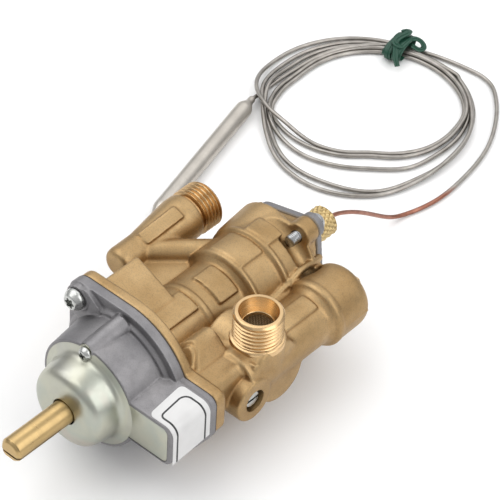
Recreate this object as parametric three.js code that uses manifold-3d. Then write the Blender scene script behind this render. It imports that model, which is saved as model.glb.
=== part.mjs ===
// Thermostatic gas valve with flame-failure device, capillary and sensing bulb.
// Millimetres, +Z up. The main axis runs along Y: the spindle is at -Y and the capillary leaves at +Y.
// Places inside the valve are given from the main axis: y = 0 is just in front of the dome cap.
import * as THREE from "three";
import { mergeVertices } from "three/addons/utils/BufferGeometryUtils.js";
import Module from "manifold-3d";

const wasm = await Module();
wasm.setup();

// ---- Driving dimensions ----
const GAP = 0.3; // clearance kept between neighbouring solids
const AXIS_HEIGHT = 25; // main axis above the surface that the valve stands on
const MIDDLE_X = -0.1; // middle of the valve's width, from the main axis
const MIDDLE_Y = 51.4; // near the middle of the valve's length, from y = 0

const SPINDLE_RADIUS = 4; // 8 mm spindle
const SPINDLE_FLAT = 2.5; // flat below the axis: 6.5 mm across
const SPINDLE_TIP = -20.5;
const FLAT_LENGTH = 17.5;
const PUSH_TRAVEL = 4.5; // the spindle is pushed in against its spring
const BLADE_END = 40.5; // the spindle's blade turns the plug

const COVER_FRONT = 13; // cover plate, sunk in the housing's front
const COVER_THICK = 0.8;
const DOME_FRONT = 2;
const DOME_RADIUS = 15.2;
const CAP_SCREW = { x: -1, z: 16.5, head: 2.3 };
const RIDGE = { radius: 3.6, z: 15.9, aside: 1.9, climb: 4.3 }; // behind each cap screw

const HOUSING_FRONT = 14.1; // floor of the recess for the cover plate
const HOUSING_BACK = 30;
const HOUSING_RADIUS = 18.8;
const HOUSING_DRAFT = 1.4; // the housing is this much wider in radius at its flange
const FLANGE_RADIUS = 25.1;
const FLANGE_FRONT = 27;
const STEP = { front: 25.9, near: 21.4, far: 22.3 }; // raised ring on the flange's front
const EAR = { x: -17, z: 20, radius: 5, front: 24.3 };
const BOX = { right: 36, top: 10.4, bottom: -6.4, corner: 3.4 };
const BOX_FRONT = { y: 12.9, right: 34.1, top: 8, bottom: -7.6, corner: 3.4 };
const LABEL = { front: 13.5, back: 27.4, left: 24.3, low: -4.4 };

const BODY_FRONT = 31;
const BODY_FLANGE_BACK = 34.2;
const CYL1 = { radius: 12.7, back: 56 };
const CYL2 = { radius: 12.9, back: 70.5 };
const CYL3 = { radius: 15.6, back: 84.5 };
const CYL4 = { radius: 16.6, back: 99 };
const REAR = { front: 98.6, back: 103.8, half: 13.2, corner: 4.4, turn: 15, right: 12.5, ear: 3.9 };
const REAR_PLATE = { front: 104.7, back: 107.5 };
const REAR_BOLT = 15.3; // radius of the rear screws about the main axis

const PILOT = { left: -16.5, front: 34, back: 50.8, high: 20.8, flat: -14.9, low: 15, right: -2.1 };
const PILOT_BORE = { y: 41.8, z: 13.4, radius: 4.2, end: -10.4 };

const M16 = 8; // outside radius of both port threads
const TUBE_BORE = 5; // 10 mm tube
const CONE_MOUTH = 6.25;
const CONE_DEPTH = 5.9; // 24 degree cone
const INLET = { x: 26, y: 59.5, top: 20, shoulder: 9.5, shoulderRadius: 8.8, pad: 6.5 };
const OUTLET = { x: -29.3, z: 5.2, front: 55.5, back: 96.6, groove: 87.5, thin: 5.3, thick: 7.9 };
const DUCT_RADIUS = 3.4;

const SAFETY = { x: 26, front: 9.2, back: 11.1, collar: 10.6, collarStart: 84, backStart: 86.6, end: 101.2 };
const CROSS = { y: 59.1, z: 0.6, radius: 10.5, end: 34.2 };
const BYPASS = { y: 48.7, z: -4.1, radius: 7.2, end: 35.4, hole: 3.8 };

const CHAMBER_RADIUS = 12.8; // thermostat chamber
const MAGNET_BORE = 7.6;
const ARMATURE_BACK = 77.5; // held by the magnet once it has been pushed against the core

const HEAD_HEIGHT = 3; // pan heads
const NUT = { front: 110.8, back: 122.3, radius: 5.2 };

// Capillary: 1.5 mm tube, which leaves the nut, comes down to the surface and ends in the tie.
const CAPILLARY_RADIUS = 0.75;
const REST_Z = -AXIS_HEIGHT + CAPILLARY_RADIUS + 0.05;
const LEAD_ROUTE = [
  [0, 122.6, 0],
  [0, 127.5, -1.3],
  [0, 132.5, -3.8],
  [0, 138, -7.3],
  [-0.2, 143.5, -11.5],
  [-0.4, 149, -16],
  [-0.3, 154.5, -20.3],
  [0.2, 159.5, -23.2],
  [1.4, 164.6, REST_Z],
  [3, 170, REST_Z],
  [4.1, 176.5, REST_Z],
  [4.2, 184.3, REST_Z],
  [3.3, 193.5, REST_Z],
  [1.9, 201.5, REST_Z],
  [-0.4, 209.5, REST_Z],
  [-4.2, 217.8, REST_Z],
  [-9.6, 226.3, REST_Z],
  [-15.4, 233, REST_Z],
  [-20.4, 236.9, REST_Z],
  [-26, 238.4, REST_Z],
  [-32, 238, REST_Z],
  [-38, 237.1, REST_Z],
  [-43.8, 235.8, REST_Z],
  [-49.1, 234.1, REST_Z],
];

// The coil lies flat: an oval ring round (x, y), turned so that its long side faces the tie.
const COIL = { x: -43.2, y: 193.2, width: 37.4, depth: 40.5, inner: 0.8, height: 4.4, turn: 34.9 };
const TIE = { x: -53.9, y: 229, turn: 18, length: 9.6, inside: 8.5, outside: 6, height: 7.5 };
// Sensing bulb: its axis lies in the plane one radius above the surface.
const BULB = { radius: 3, tip: [-55.6, 100.2], main: [-57.2, 106.4], end: [-71.9, 164], neck: [-73.4, 169.3] };

// ---- Materials ----
const material = (color, roughness, metalness) =>
  new THREE.MeshStandardMaterial({ color, roughness, metalness });
const castBrass = () => material(0xb59a6a, 0.55, 0.9);
const turnedBrass = () => material(0xd2a860, 0.3, 1);
const castAluminium = () => material(0xa9a7aa, 0.5, 0.9);
const zincSteel = () => material(0xb9b8a8, 0.3, 0.9);
const steel = () => material(0xb4b6b8, 0.35, 1);
const springSteel = () => material(0x8f9294, 0.3, 1);
const rubber = () => material(0x1d1d1e, 0.8, 0);
const sticker = () => material(0xeceaea, 0.5, 0);
const copper = () => material(0xc08468, 0.35, 1);
const tieGreen = () => material(0x1f5a45, 0.7, 0);

// ---- Solids ----
function solid(geometry) {
  const bare = geometry.index ? geometry.toNonIndexed() : geometry.clone();
  bare.deleteAttribute("normal");
  bare.deleteAttribute("uv");
  const merged = mergeVertices(bare, 1e-4);
  return new wasm.Manifold(
    new wasm.Mesh({
      numProp: 3,
      vertProperties: new Float32Array(merged.attributes.position.array),
      triVerts: new Uint32Array(merged.index.array),
    }),
  );
}

const join = (...solids) => solids.reduce((all, next) => all.add(next));
const cut = (from, ...tools) => tools.reduce((rest, tool) => rest.subtract(tool), from);

function toGeometry(body) {
  const made = body.getMesh();
  const positions = new Float32Array(made.numVert * 3);
  for (let i = 0; i < made.numVert; i++) {
    const at = i * made.numProp;
    positions.set(made.vertProperties.subarray(at, at + 3), i * 3);
  }
  const geometry = new THREE.BufferGeometry();
  geometry.setAttribute("position", new THREE.BufferAttribute(positions, 3));
  geometry.setIndex(new THREE.BufferAttribute(new Uint32Array(made.triVerts), 1));
  return geometry.toNonIndexed();
}

const SIDES = 18;

// A cylinder or cone along Y, X or Z from one end to the other.
function rodY(x, z, y0, y1, r0, r1 = r0, sides = SIDES) {
  const g = new THREE.CylinderGeometry(r1, r0, y1 - y0, sides);
  return solid(g.translate(x, (y0 + y1) / 2, z));
}
function rodX(y, z, x0, x1, r0, r1 = r0, sides = SIDES) {
  const g = new THREE.CylinderGeometry(r1, r0, x1 - x0, sides).rotateZ(-Math.PI / 2);
  return solid(g.translate((x0 + x1) / 2, y, z));
}
function rodZ(x, y, z0, z1, r0, r1 = r0, sides = SIDES) {
  const g = new THREE.CylinderGeometry(r1, r0, z1 - z0, sides).rotateX(Math.PI / 2);
  return solid(g.translate(x, y, (z0 + z1) / 2));
}
function ringY(x, z, y0, y1, inner, outer, sides = SIDES) {
  return cut(rodY(x, z, y0, y1, outer, outer, sides), rodY(x, z, y0 - 1, y1 + 1, inner, inner, sides));
}
function block(x0, x1, y0, y1, z0, z1) {
  const g = new THREE.BoxGeometry(x1 - x0, y1 - y0, z1 - z0);
  return solid(g.translate((x0 + x1) / 2, (y0 + y1) / 2, (z0 + z1) / 2));
}

// An outline in X and Z, given thickness along Y.
function prismY(shape, y0, y1, segments = 6) {
  const g = new THREE.ExtrudeGeometry(shape, {
    depth: y1 - y0,
    bevelEnabled: false,
    curveSegments: segments,
  });
  return solid(g.rotateX(Math.PI / 2).translate(0, y1, 0));
}
// An outline in X and Y, given thickness along Z.
function prismZ(shape, z0, z1, segments = 6) {
  const g = new THREE.ExtrudeGeometry(shape, {
    depth: z1 - z0,
    bevelEnabled: false,
    curveSegments: segments,
  });
  return solid(g.translate(0, 0, z0));
}

function polygon(points) {
  return new THREE.Shape(points.map(([x, z]) => new THREE.Vector2(x, z)));
}

function roundedRectangle(left, right, bottom, top, corner) {
  const s = new THREE.Shape();
  s.moveTo(left + corner, bottom);
  s.lineTo(right - corner, bottom);
  s.absarc(right - corner, bottom + corner, corner, -Math.PI / 2, 0);
  s.lineTo(right, top - corner);
  s.absarc(right - corner, top - corner, corner, 0, Math.PI / 2);
  s.lineTo(left + corner, top);
  s.absarc(left + corner, top - corner, corner, Math.PI / 2, Math.PI);
  s.lineTo(left, bottom + corner);
  s.absarc(left + corner, bottom + corner, corner, Math.PI, Math.PI * 1.5);
  return s;
}

// The housing's box is wider at the back: draft widens an outline along Y.
function draftedBox(grow, y0, y1, left = 4) {
  const { right, top, bottom, corner } = BOX_FRONT;
  const outline = roundedRectangle(left, right + grow, bottom - grow, top + grow, corner);
  const g = new THREE.ExtrudeGeometry(outline, { depth: y1 - y0, bevelEnabled: false, curveSegments: 5 });
  g.rotateX(Math.PI / 2).translate(0, y1, 0);
  const at = g.attributes.position;
  for (let i = 0; i < at.count; i++) {
    const t = (at.getY(i) - BOX_FRONT.y) / (FLANGE_FRONT - BOX_FRONT.y);
    const z = at.getZ(i);
    if (at.getX(i) > left + corner) at.setX(i, at.getX(i) + t * (BOX.right - right));
    at.setZ(i, z + t * (z > 0 ? BOX.top - top : BOX.bottom - bottom));
  }
  return solid(g);
}

const valve = new THREE.Group();
valve.position.set(-MIDDLE_X, -MIDDLE_Y, AXIS_HEIGHT);

function part(name, body, finish) {
  const mesh = new THREE.Mesh(toGeometry(body), finish);
  mesh.name = name;
  valve.add(mesh);
}

// ---- Flange outline shared by the housing, the gasket and the body ----
// A round flange with two ears on the left and a box on the right. inset shrinks it all round.
function flangeOutline(inset = 0) {
  const r = FLANGE_RADIUS - inset;
  const ear = EAR.radius - inset;
  const top = BOX.top - inset;
  const bottom = BOX.bottom + inset;
  const right = BOX.right - inset;
  const left = EAR.x - ear;
  const high = EAR.z + ear;
  const meetTop = Math.asin(top / r);
  const meetBottom = Math.asin(bottom / r);
  const s = new THREE.Shape();
  s.moveTo(left, -EAR.z);
  s.absarc(EAR.x, -EAR.z, ear, Math.PI, Math.PI * 1.5);
  s.lineTo(0, -high);
  s.absarc(0, 0, r, -Math.PI / 2, meetBottom);
  s.lineTo(right - BOX.corner, bottom);
  s.absarc(right - BOX.corner, bottom + BOX.corner, BOX.corner, -Math.PI / 2, 0);
  s.lineTo(right, top - BOX.corner);
  s.absarc(right - BOX.corner, top - BOX.corner, BOX.corner, 0, Math.PI / 2);
  s.lineTo(r * Math.cos(meetTop), top);
  s.absarc(0, 0, r, meetTop, Math.PI / 2);
  s.lineTo(EAR.x, high);
  s.absarc(EAR.x, EAR.z, ear, Math.PI / 2, Math.PI);
  s.closePath();
  return s;
}

// ---- Front end: cover, housing and their screws ----
function coverPlate() {
  const profile = [
    [4.6, DOME_FRONT],
    [11.2, DOME_FRONT],
    [12.6, DOME_FRONT + 0.7],
    [13.6, DOME_FRONT + 2.2],
    [14.0, DOME_FRONT + 5],
    [14.4, DOME_FRONT + 8.6],
    [DOME_RADIUS, COVER_FRONT],
    [DOME_RADIUS, COVER_FRONT + COVER_THICK],
    [13.8, COVER_FRONT + COVER_THICK],
    [12.9, DOME_FRONT + 3],
    [10.9, DOME_FRONT + 0.9],
    [4.6, DOME_FRONT + 0.9],
    [4.6, DOME_FRONT],
  ];
  const points = profile.map(([r, y]) => new THREE.Vector2(r, y));
  const dome = solid(new THREE.LatheGeometry(points, 28));
  const back = COVER_FRONT + COVER_THICK;
  const disc = rodY(0, 0, COVER_FRONT, back, 17.5, 17.5, 28);
  const tongue = prismY(roundedRectangle(4, 32, -6.6, 6.7, 2), COVER_FRONT, back);
  const lobes = [1, -1].map((side) =>
    rodY(side * CAP_SCREW.x, side * CAP_SCREW.z, COVER_FRONT, back, 3, 3, 16),
  );
  const holes = [1, -1].map((side) =>
    rodY(side * CAP_SCREW.x, side * CAP_SCREW.z, 0, 20, 1.6, 1.6, 12),
  );
  const pockets = [1, -1].map((side) =>
    rodY(side * CAP_SCREW.x, side * CAP_SCREW.z, 0, COVER_FRONT, 2.6, 2.6, 16),
  );
  const opening = rodY(0, 0, COVER_FRONT - 1, back + 1, 14, 14, 28);
  const sheet = cut(join(disc, tongue, ...lobes), opening, ...holes);
  return join(cut(dome, ...pockets), sheet);
}

function capScrew(side) {
  const { x, z, head } = CAP_SCREW;
  const top = rodY(side * x, side * z, COVER_FRONT - 1.9, COVER_FRONT - GAP, 1.7, head, 16);
  const shank = rodY(side * x, side * z, COVER_FRONT - 1, HOUSING_FRONT + 6, 1.3, 1.3, 12);
  return join(top, shank);
}

// The ridge behind each cap screw climbs away from the axis towards the flange.
function capScrewRidge(side) {
  const length = FLANGE_FRONT - COVER_FRONT;
  const g = new THREE.CylinderGeometry(RIDGE.radius, RIDGE.radius, length, 20);
  g.translate(side * CAP_SCREW.x, COVER_FRONT + length / 2, side * RIDGE.z);
  const at = g.attributes.position;
  for (let i = 0; i < at.count; i++) {
    const t = (at.getY(i) - COVER_FRONT) / length;
    at.setX(i, at.getX(i) + side * t * RIDGE.aside);
    at.setZ(i, at.getZ(i) + side * t * RIDGE.climb);
  }
  return solid(g);
}

function frontHousing() {
  const wide = HOUSING_RADIUS + HOUSING_DRAFT;
  const tube = rodY(0, 0, COVER_FRONT, FLANGE_FRONT, HOUSING_RADIUS, wide, 36);
  const step = rodY(0, 0, STEP.front, FLANGE_FRONT, STEP.near, STEP.far, 36);
  const flange = prismY(flangeOutline(), FLANGE_FRONT, HOUSING_BACK, 6);
  const box = draftedBox(0, BOX_FRONT.y, FLANGE_FRONT);
  const bosses = [1, -1].map(capScrewRidge);
  const ears = [1, -1].map((side) => {
    const boss = rodY(EAR.x, side * EAR.z, EAR.front, FLANGE_FRONT + 1, 4.4, 4.4, 20);
    const gusset = [
      [-21.4, 20],
      [-12.8, 22],
      [-6, 16],
      [-15, 9],
      [-21.4, 14],
    ];
    return join(boss, prismY(polygon(gusset.map(([x, z]) => [x, side * z])), EAR.front, FLANGE_FRONT + 1));
  });
  const hollows = [
    rodY(0, 0, HOUSING_FRONT - 2, HOUSING_BACK + 1, 14.4, 14.4, 28),
    block(0, 31.6, HOUSING_FRONT, HOUSING_BACK + 1, -5.2, 6.2),
    prismY(roundedRectangle(4, 32.4, -6.9, 7, 2.2), COVER_FRONT - 1, HOUSING_FRONT),
    rodY(0, 0, COVER_FRONT - 1, HOUSING_FRONT, 17.8, 17.8, 28),
    ...[1, -1].map((side) =>
      rodY(side * CAP_SCREW.x, side * CAP_SCREW.z, COVER_FRONT - 1, HOUSING_FRONT, 3.3, 3.3, 16),
    ),
    ...[1, -1].map((side) => rodY(side * CAP_SCREW.x, side * CAP_SCREW.z, 0, HOUSING_FRONT + 7, 1.6, 1.6, 12)),
    ...[1, -1].map((side) => rodY(EAR.x, side * EAR.z, 0, 40, 2.3, 2.3, 12)),
  ];
  return cut(join(tube, step, flange, box, ...bosses, ...ears), ...hollows);
}

function housingScrew(side) {
  const front = EAR.front - GAP - HEAD_HEIGHT;
  const head = rodY(EAR.x, side * EAR.z, front, EAR.front - GAP, 3, 3.6, 20);
  const shank = rodY(EAR.x, side * EAR.z, front + 1, BODY_FRONT + 2.6, 2, 2, 14);
  const recess = rodY(EAR.x, side * EAR.z, front - 1, front + 1.6, 1.5, 1.5, 6);
  return cut(join(head, shank), recess);
}

function frontGasket() {
  const sheet = prismY(flangeOutline(0.8), HOUSING_BACK + GAP, BODY_FRONT - GAP, 6);
  const holes = [1, -1].map((side) => rodY(EAR.x, side * EAR.z, 29, 32, 2.4, 2.4, 12));
  return cut(sheet, rodY(0, 0, 29, 32, 13, 13), block(18, 31.6, 29, 32, -4, 4), ...holes);
}

// The sticker folds over the top and the right side of the housing's box.
function label() {
  const wrap = draftedBox(GAP + 0.25, LABEL.front, LABEL.back);
  const inside = draftedBox(GAP, LABEL.front - 1, LABEL.back + 1);
  const left = block(0, LABEL.left, 10, 30, -20, 20);
  const under = block(0, 40, 10, 30, -20, LABEL.low);
  return cut(wrap, inside, left, under);
}

// ---- Spindle group ----
function spindle() {
  const outer = join(
    rodY(0, 0, SPINDLE_TIP, SPINDLE_TIP + 0.7, SPINDLE_RADIUS - 0.7, SPINDLE_RADIUS, 24),
    rodY(0, 0, SPINDLE_TIP + 0.7, 5, SPINDLE_RADIUS, SPINDLE_RADIUS, 24),
  );
  const wide = rodY(0, 0, 4.9, 15.6, 5.6, 5.6, 24);
  const tail = rodY(0, 0, 15.5, 28, SPINDLE_RADIUS, SPINDLE_RADIUS, 24);
  const blade = block(-3.2, 3.2, 27, BLADE_END, -1, 1);
  const flat = block(-6, 6, SPINDLE_TIP - 1, SPINDLE_TIP + FLAT_LENGTH, -6, -SPINDLE_FLAT);
  const slit = block(-6, 6, SPINDLE_TIP - 1, SPINDLE_TIP + FLAT_LENGTH, -1.5, -0.8);
  const groove = ringY(0, 0, 17.6, 18.6, 3.2, 6, 24);
  return cut(join(outer, wide, tail, blade), flat, slit, groove);
}

const stopWasher = () => ringY(0, 0, DOME_FRONT + 1.2, 4.7, 4.4, 7, 24);

// Steel bridge that moves with the spindle without turning, and reaches over to the push rod.
function pushBridge() {
  const arm = prismY(roundedRectangle(-9, 30.4, -4.4, 4.4, 4.2), 15.9, 17.2);
  return cut(arm, rodY(0, 0, 15, 18, 4.35, 4.35, 24));
}

const circlip = () => cut(ringY(0, 0, 17.8, 18.4, 3.5, 5.8, 20), block(-1.5, 1.5, 17, 19, 0, 8));

// A coil spring along Y as one solid: a helix of round wire.
function coilSpring(x, z, y0, y1, radius, wire, turns, steps = 9) {
  class Helix extends THREE.Curve {
    getPoint(t, target = new THREE.Vector3()) {
      const a = t * turns * Math.PI * 2;
      const y = y0 + wire + t * (y1 - y0 - 2 * wire);
      return target.set(x + radius * Math.cos(a), y, z + radius * Math.sin(a));
    }
  }
  const section = new THREE.Shape();
  section.absarc(0, 0, wire, 0, Math.PI * 2);
  const g = new THREE.ExtrudeGeometry(section, {
    steps: Math.round(turns * steps),
    curveSegments: 3,
    extrudePath: new Helix(),
  });
  return solid(g);
}

// ---- Plug (rotary cock) ----
const plugRetainer = () => ringY(0, 0, BODY_FRONT + GAP, 32.7, 5.4, 11.4, 24);

function plug() {
  const cone = rodY(0, 0, 33.6, 56, 9.2, 7.8, 32);
  const slot = block(-3.6, 3.6, 33, BLADE_END + PUSH_TRAVEL + 0.6, -1.4, 1.4);
  const bore = rodY(0, 0, 45, 57, 3.4, 3.4, 16);
  const port = rodX(48.5, 0, 0, 12, 2.6, 2.6, 16);
  return cut(cone, slot, bore, port);
}

// Fork pressed into the plug's back, with the thread that moves the regulating sleeve.
function regulatingScrew() {
  const head = ringY(0, 0, 56.4, 58, 1.4, 6.4, 20);
  const screw = rodY(0, 0, 57.5, 64, 2.2, 2.2, 16);
  return join(head, screw);
}
function regulatingSleeve() {
  const cup = rodY(0, 0, 59, 66, 4.6, 4.6, 20);
  const keys = block(-6.6, 6.6, 60, 63.5, -1.2, 1.2);
  return cut(join(cup, keys), rodY(0, 0, 58, 65, 2.6, 2.6, 16));
}

// ---- Thermostat ----
const thermostatSeat = () => ringY(0, 0, 72.9, 75, 4.2, CHAMBER_RADIUS - GAP, 32);
function thermostatDisc() {
  const disc = rodY(0, 0, 75.3, 77.3, 6.5, 6.5, 24);
  const front = rodY(0, 0, 72, 76, 1.5, 1.5, 14);
  const stem = rodY(0, 0, 77, 92.6, 1.8, 1.8, 14);
  const collar = rodY(0, 0, 79.6, 80.6, 3, 3, 16);
  return join(disc, front, stem, collar);
}
const bellowsCapsule = () =>
  join(
    rodY(0, 0, 94.4, 95.4, 4, 4, 20),
    rodY(0, 0, 95.3, 97, 6, 10.6, 28),
    rodY(0, 0, 97, 98.4, 10.6, 10.6, 28),
    rodY(0, 0, 98.4, 100, 10.6, 6, 28),
    rodY(0, 0, 100, 104, 3, 3, 20),
  );
const bellowsBracket = () =>
  cut(ringY(0, 0, 91, 92.2, 2.4, CHAMBER_RADIUS - GAP, 28), ...[45, 135, 225, 315].map((a) => {
    const t = THREE.MathUtils.degToRad(a);
    return rodY(8 * Math.cos(t), 8 * Math.sin(t), 90, 93, 2, 2, 12);
  }));

// ---- Flame-failure device ----
function pushRod() {
  const x = SAFETY.x;
  const button = rodY(x, 0, 17.5, 19.5, 3, 3, 16);
  const rod = rodY(x, 0, 19.4, 51.6, 1.5, 1.5, 14);
  return join(button, rod);
}
const rodSeal = () => ringY(SAFETY.x, 0, 32, 33.8, 1.7, 3.1, 16);
function safetyDisc() {
  const x = SAFETY.x;
  const disc = rodY(x, 0, 53.1, 55.2, 5.9, 5.9, 24);
  const nose = rodY(x, 0, 51.9, 53.2, 1.6, 1.6, 14);
  const stem = rodY(x, 0, 55, 76, 1.4, 1.4, 14);
  const armature = rodY(x, 0, ARMATURE_BACK - 2, ARMATURE_BACK, 4.6, 4.6, 16);
  return join(disc, nose, stem, armature);
}
function magnetUnit() {
  const x = SAFETY.x;
  const shell = ringY(x, 0, 70, 99, 5.4, 6.6, 24);
  const rim = ringY(x, 0, 69, 70.5, 2, 6.6, 24);
  const core = rodY(x, 0, ARMATURE_BACK + PUSH_TRAVEL + 0.6, 99, 4.4, 4.4, 16);
  const wall = rodY(x, 0, 97, 99, 6, 6, 24);
  return join(shell, rim, core, wall);
}
// Threaded bush at the back of the safety chamber: the thermocouple screws into it.
function thermocoupleBush() {
  const x = SAFETY.x;
  return cut(rodY(x, 0, 99.4, 103.4, 7.2, 7.2, 6), rodY(x, 0, 98, 105, 3.4, 3.4, 16));
}

// ---- Brass body ----
function pilotBlock() {
  const { left, front, back, high, flat, low, right } = PILOT;
  const outline = polygon([
    [left, 4],
    [right + 6, 4],
    [right + 6, 11],
    [right, low],
    [flat, high],
    [left, high],
  ]);
  return prismY(outline, front, back);
}

// The rear flange is a turned, rounded square with an ear at two opposite corners.
const rearAngles = [60, 240];
function rearSpot(angle) {
  const t = THREE.MathUtils.degToRad(angle);
  return [REAR_BOLT * Math.cos(t), REAR_BOLT * Math.sin(t)];
}

function rearSlab(inset, y0, y1) {
  const { half, corner, turn, right, ear } = REAR;
  const square = roundedRectangle(-half + inset, half - inset, -half + inset, half - inset, corner);
  const t = THREE.MathUtils.degToRad(turn);
  const turned = square.getPoints(6).map(
    (p) => [p.x * Math.cos(t) - p.y * Math.sin(t), p.x * Math.sin(t) + p.y * Math.cos(t)],
  );
  const ears = rearAngles.map((angle) => {
    const [x, z] = rearSpot(angle);
    return rodY(x, z, y0, y1, ear - inset, ear - inset, 18);
  });
  const slab = cut(prismY(polygon(turned), y0, y1), block(right - inset, 30, y0 - 1, y1 + 1, -30, 30));
  return join(slab, ...ears);
}

function valveBody() {
  const flange = prismY(flangeOutline(0.3), BODY_FRONT, BODY_FLANGE_BACK, 6);
  const main = [
    rodY(0, 0, 33, CYL1.back, CYL1.radius, CYL1.radius, 28),
    rodY(0, 0, 55, 56.8, CYL1.radius + 0.6, CYL1.radius + 0.6, 28),
    rodY(0, 0, CYL1.back, CYL2.back, CYL2.radius, CYL2.radius, 28),
    rodY(0, 0, CYL2.back - 1.2, 72.4, CYL2.radius, CYL3.radius, 28),
    rodY(0, 0, 72.4, CYL3.back, CYL3.radius, CYL3.radius, 28),
    rodY(0, 0, CYL3.back, CYL4.back, CYL4.radius, CYL4.radius, 28),
  ];
  const rearFlange = rearSlab(0, REAR.front, REAR.back);
  const [lowX, lowZ] = rearSpot(rearAngles[1]);
  const rearBoss = rodY(lowX, lowZ, 93, REAR.back - 1, 3.4, 3.4, 16);
  const safety = [
    rodY(SAFETY.x, 0, 50, SAFETY.collarStart, SAFETY.front),
    rodY(SAFETY.x, 0, SAFETY.collarStart, SAFETY.backStart, SAFETY.collar),
    rodY(SAFETY.x, 0, SAFETY.backStart, SAFETY.end - 1.4, SAFETY.back),
    rodY(SAFETY.x, 0, SAFETY.end - 1.4, SAFETY.end, SAFETY.back, SAFETY.back - 1.4),
    block(8, 22, 76, 98, -6, 5),
  ];
  const inlet = [
    block(17, 34.4, 50.5, 67, -4, INLET.pad),
    rodZ(INLET.x, INLET.y, 0, INLET.shoulder, INLET.shoulderRadius),
    rodZ(INLET.x, INLET.y, INLET.shoulder - 0.1, INLET.top, M16),
    rodX(CROSS.y, CROSS.z, 12, CROSS.end, CROSS.radius, CROSS.radius, 24),
  ];
  const bypass = rodX(BYPASS.y, BYPASS.z, 18, BYPASS.end, BYPASS.radius);
  const link = [
    prismY(roundedRectangle(16, 35.6, -8.4, 9.8, 3), BODY_FLANGE_BACK - 0.1, 37, 3),
    prismY(roundedRectangle(17, 35, -8, 8.6, 6), 36.5, 52, 3),
    rodY(19.5, 8.5, 36.5, 50, 5, 5, 20),
    prismY(polygon([[8, 2], [9.5, 8.4], [14, 11.3], [24.5, 7.1], [26, 0]]), 38, 50),
    block(8, 20, 40, 66, -6, 5),
  ];
  const outlet = [
    rodY(OUTLET.x, OUTLET.z, OUTLET.front, OUTLET.front + 1, 4.3, OUTLET.thin),
    rodY(OUTLET.x, OUTLET.z, OUTLET.front + 1, 66, OUTLET.thin),
    rodY(OUTLET.x, OUTLET.z, 66, 84, OUTLET.thin, OUTLET.thick),
    rodY(OUTLET.x, OUTLET.z, 84, OUTLET.groove, OUTLET.thick),
    rodY(OUTLET.x, OUTLET.z, OUTLET.groove, OUTLET.groove + 1, 6.9),
    rodY(OUTLET.x, OUTLET.z, OUTLET.groove + 1, OUTLET.back, M16),
  ];
  const ductLength = 30;
  const duct = new THREE.CylinderGeometry(DUCT_RADIUS, DUCT_RADIUS, ductLength, 20);
  duct.rotateZ(-Math.PI / 4).translate(-19.5, 75, OUTLET.z);
  const web = prismZ(polygon([[-27, 60], [-12, 77], [-6, 77], [-6, 40], [-13, 40], [-15, 50]]), -1, 5.6);
  const foot = rodZ(0, 88, -AXIS_HEIGHT, -12, 5.5, 6.5, 20);
  const outside = join(
    flange, ...main, rearFlange, rearBoss, ...safety, ...inlet, bypass, ...link,
    ...outlet, solid(duct), web, pilotBlock(), foot,
  );

  const ductBore = new THREE.CylinderGeometry(2.2, 2.2, 26, 14);
  ductBore.rotateZ(-Math.PI / 4).translate(-20, 74.5, OUTLET.z);
  const hollows = [
    // plug seat, regulating passage and thermostat chamber
    rodY(0, 0, BODY_FRONT - 1, 33, 11.8, 11.8, 24),
    rodY(0, 0, 32, 56.4, 9.7, 8.2, 24),
    rodY(0, 0, 56, 72.6, 7.2, 7.2, 24),
    rodY(0, 0, 72.6, REAR.back + 1, CHAMBER_RADIUS, CHAMBER_RADIUS, 24),
    // safety chamber: rod guide, seat, disc chamber and magnet bore
    rodY(SAFETY.x, 0, BODY_FRONT - 1, 47, 1.9, 1.9, 14),
    rodY(SAFETY.x, 0, BODY_FRONT - 1, 34.1, 3.4, 3.4, 16),
    rodY(SAFETY.x, 0, 46, 53, 3.9, 3.9, 20),
    rodY(SAFETY.x, 0, 52.8, SAFETY.end + 1, MAGNET_BORE, MAGNET_BORE, 24),
    rodX(48.5, 0, 6, 26, 2.6, 2.6, 14),
    // inlet
    rodZ(INLET.x, INLET.y, 0, INLET.top + 1, 4.2, 4.2, 24),
    rodZ(INLET.x, INLET.y, 7, INLET.top + 1, TUBE_BORE, TUBE_BORE, 24),
    rodZ(INLET.x, INLET.y, INLET.top - CONE_DEPTH, INLET.top + 0.01, TUBE_BORE, CONE_MOUTH, 24),
    // outlet
    rodY(OUTLET.x, OUTLET.z, 62, OUTLET.back + 1, TUBE_BORE, TUBE_BORE, 24),
    rodY(OUTLET.x, OUTLET.z, OUTLET.back - CONE_DEPTH, OUTLET.back + 0.01, TUBE_BORE, CONE_MOUTH, 24),
    solid(ductBore),
    // bypass screw
    rodX(BYPASS.y, BYPASS.z, 29, BYPASS.end + 1, BYPASS.hole, BYPASS.hole, 20),
    rodX(BYPASS.y, BYPASS.z, 25, 30, 1.6, 1.6, 12),
    // pilot connection on the left
    rodX(PILOT_BORE.y, PILOT_BORE.z, PILOT.left - 1, PILOT_BORE.end, PILOT_BORE.radius, PILOT_BORE.radius, 20),
    rodX(PILOT_BORE.y, PILOT_BORE.z, PILOT_BORE.end - 1, -5.5, 1.2, 1.2, 10),
    rodZ(-6.6, PILOT_BORE.y, 4, 14.4, 1.2, 1.2, 10),
    // housing screws
    ...[1, -1].map((side) => rodY(EAR.x, side * EAR.z, 30, BODY_FRONT + 2.9, 2.3, 2.3, 12)),
    // rear screws
    ...rearAngles.map((angle) => {
      const [x, z] = rearSpot(angle);
      return rodY(x, z, 92, 110, 2.3, 2.3, 12);
    }),
  ];
  return cut(outside, ...hollows);
}

const inletFilter = () =>
  cut(rodZ(INLET.x, INLET.y, 7.3, 13.4, 4.6, 4.6, 20), rodZ(INLET.x, INLET.y, 8, 14, 4, 4, 20));

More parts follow.
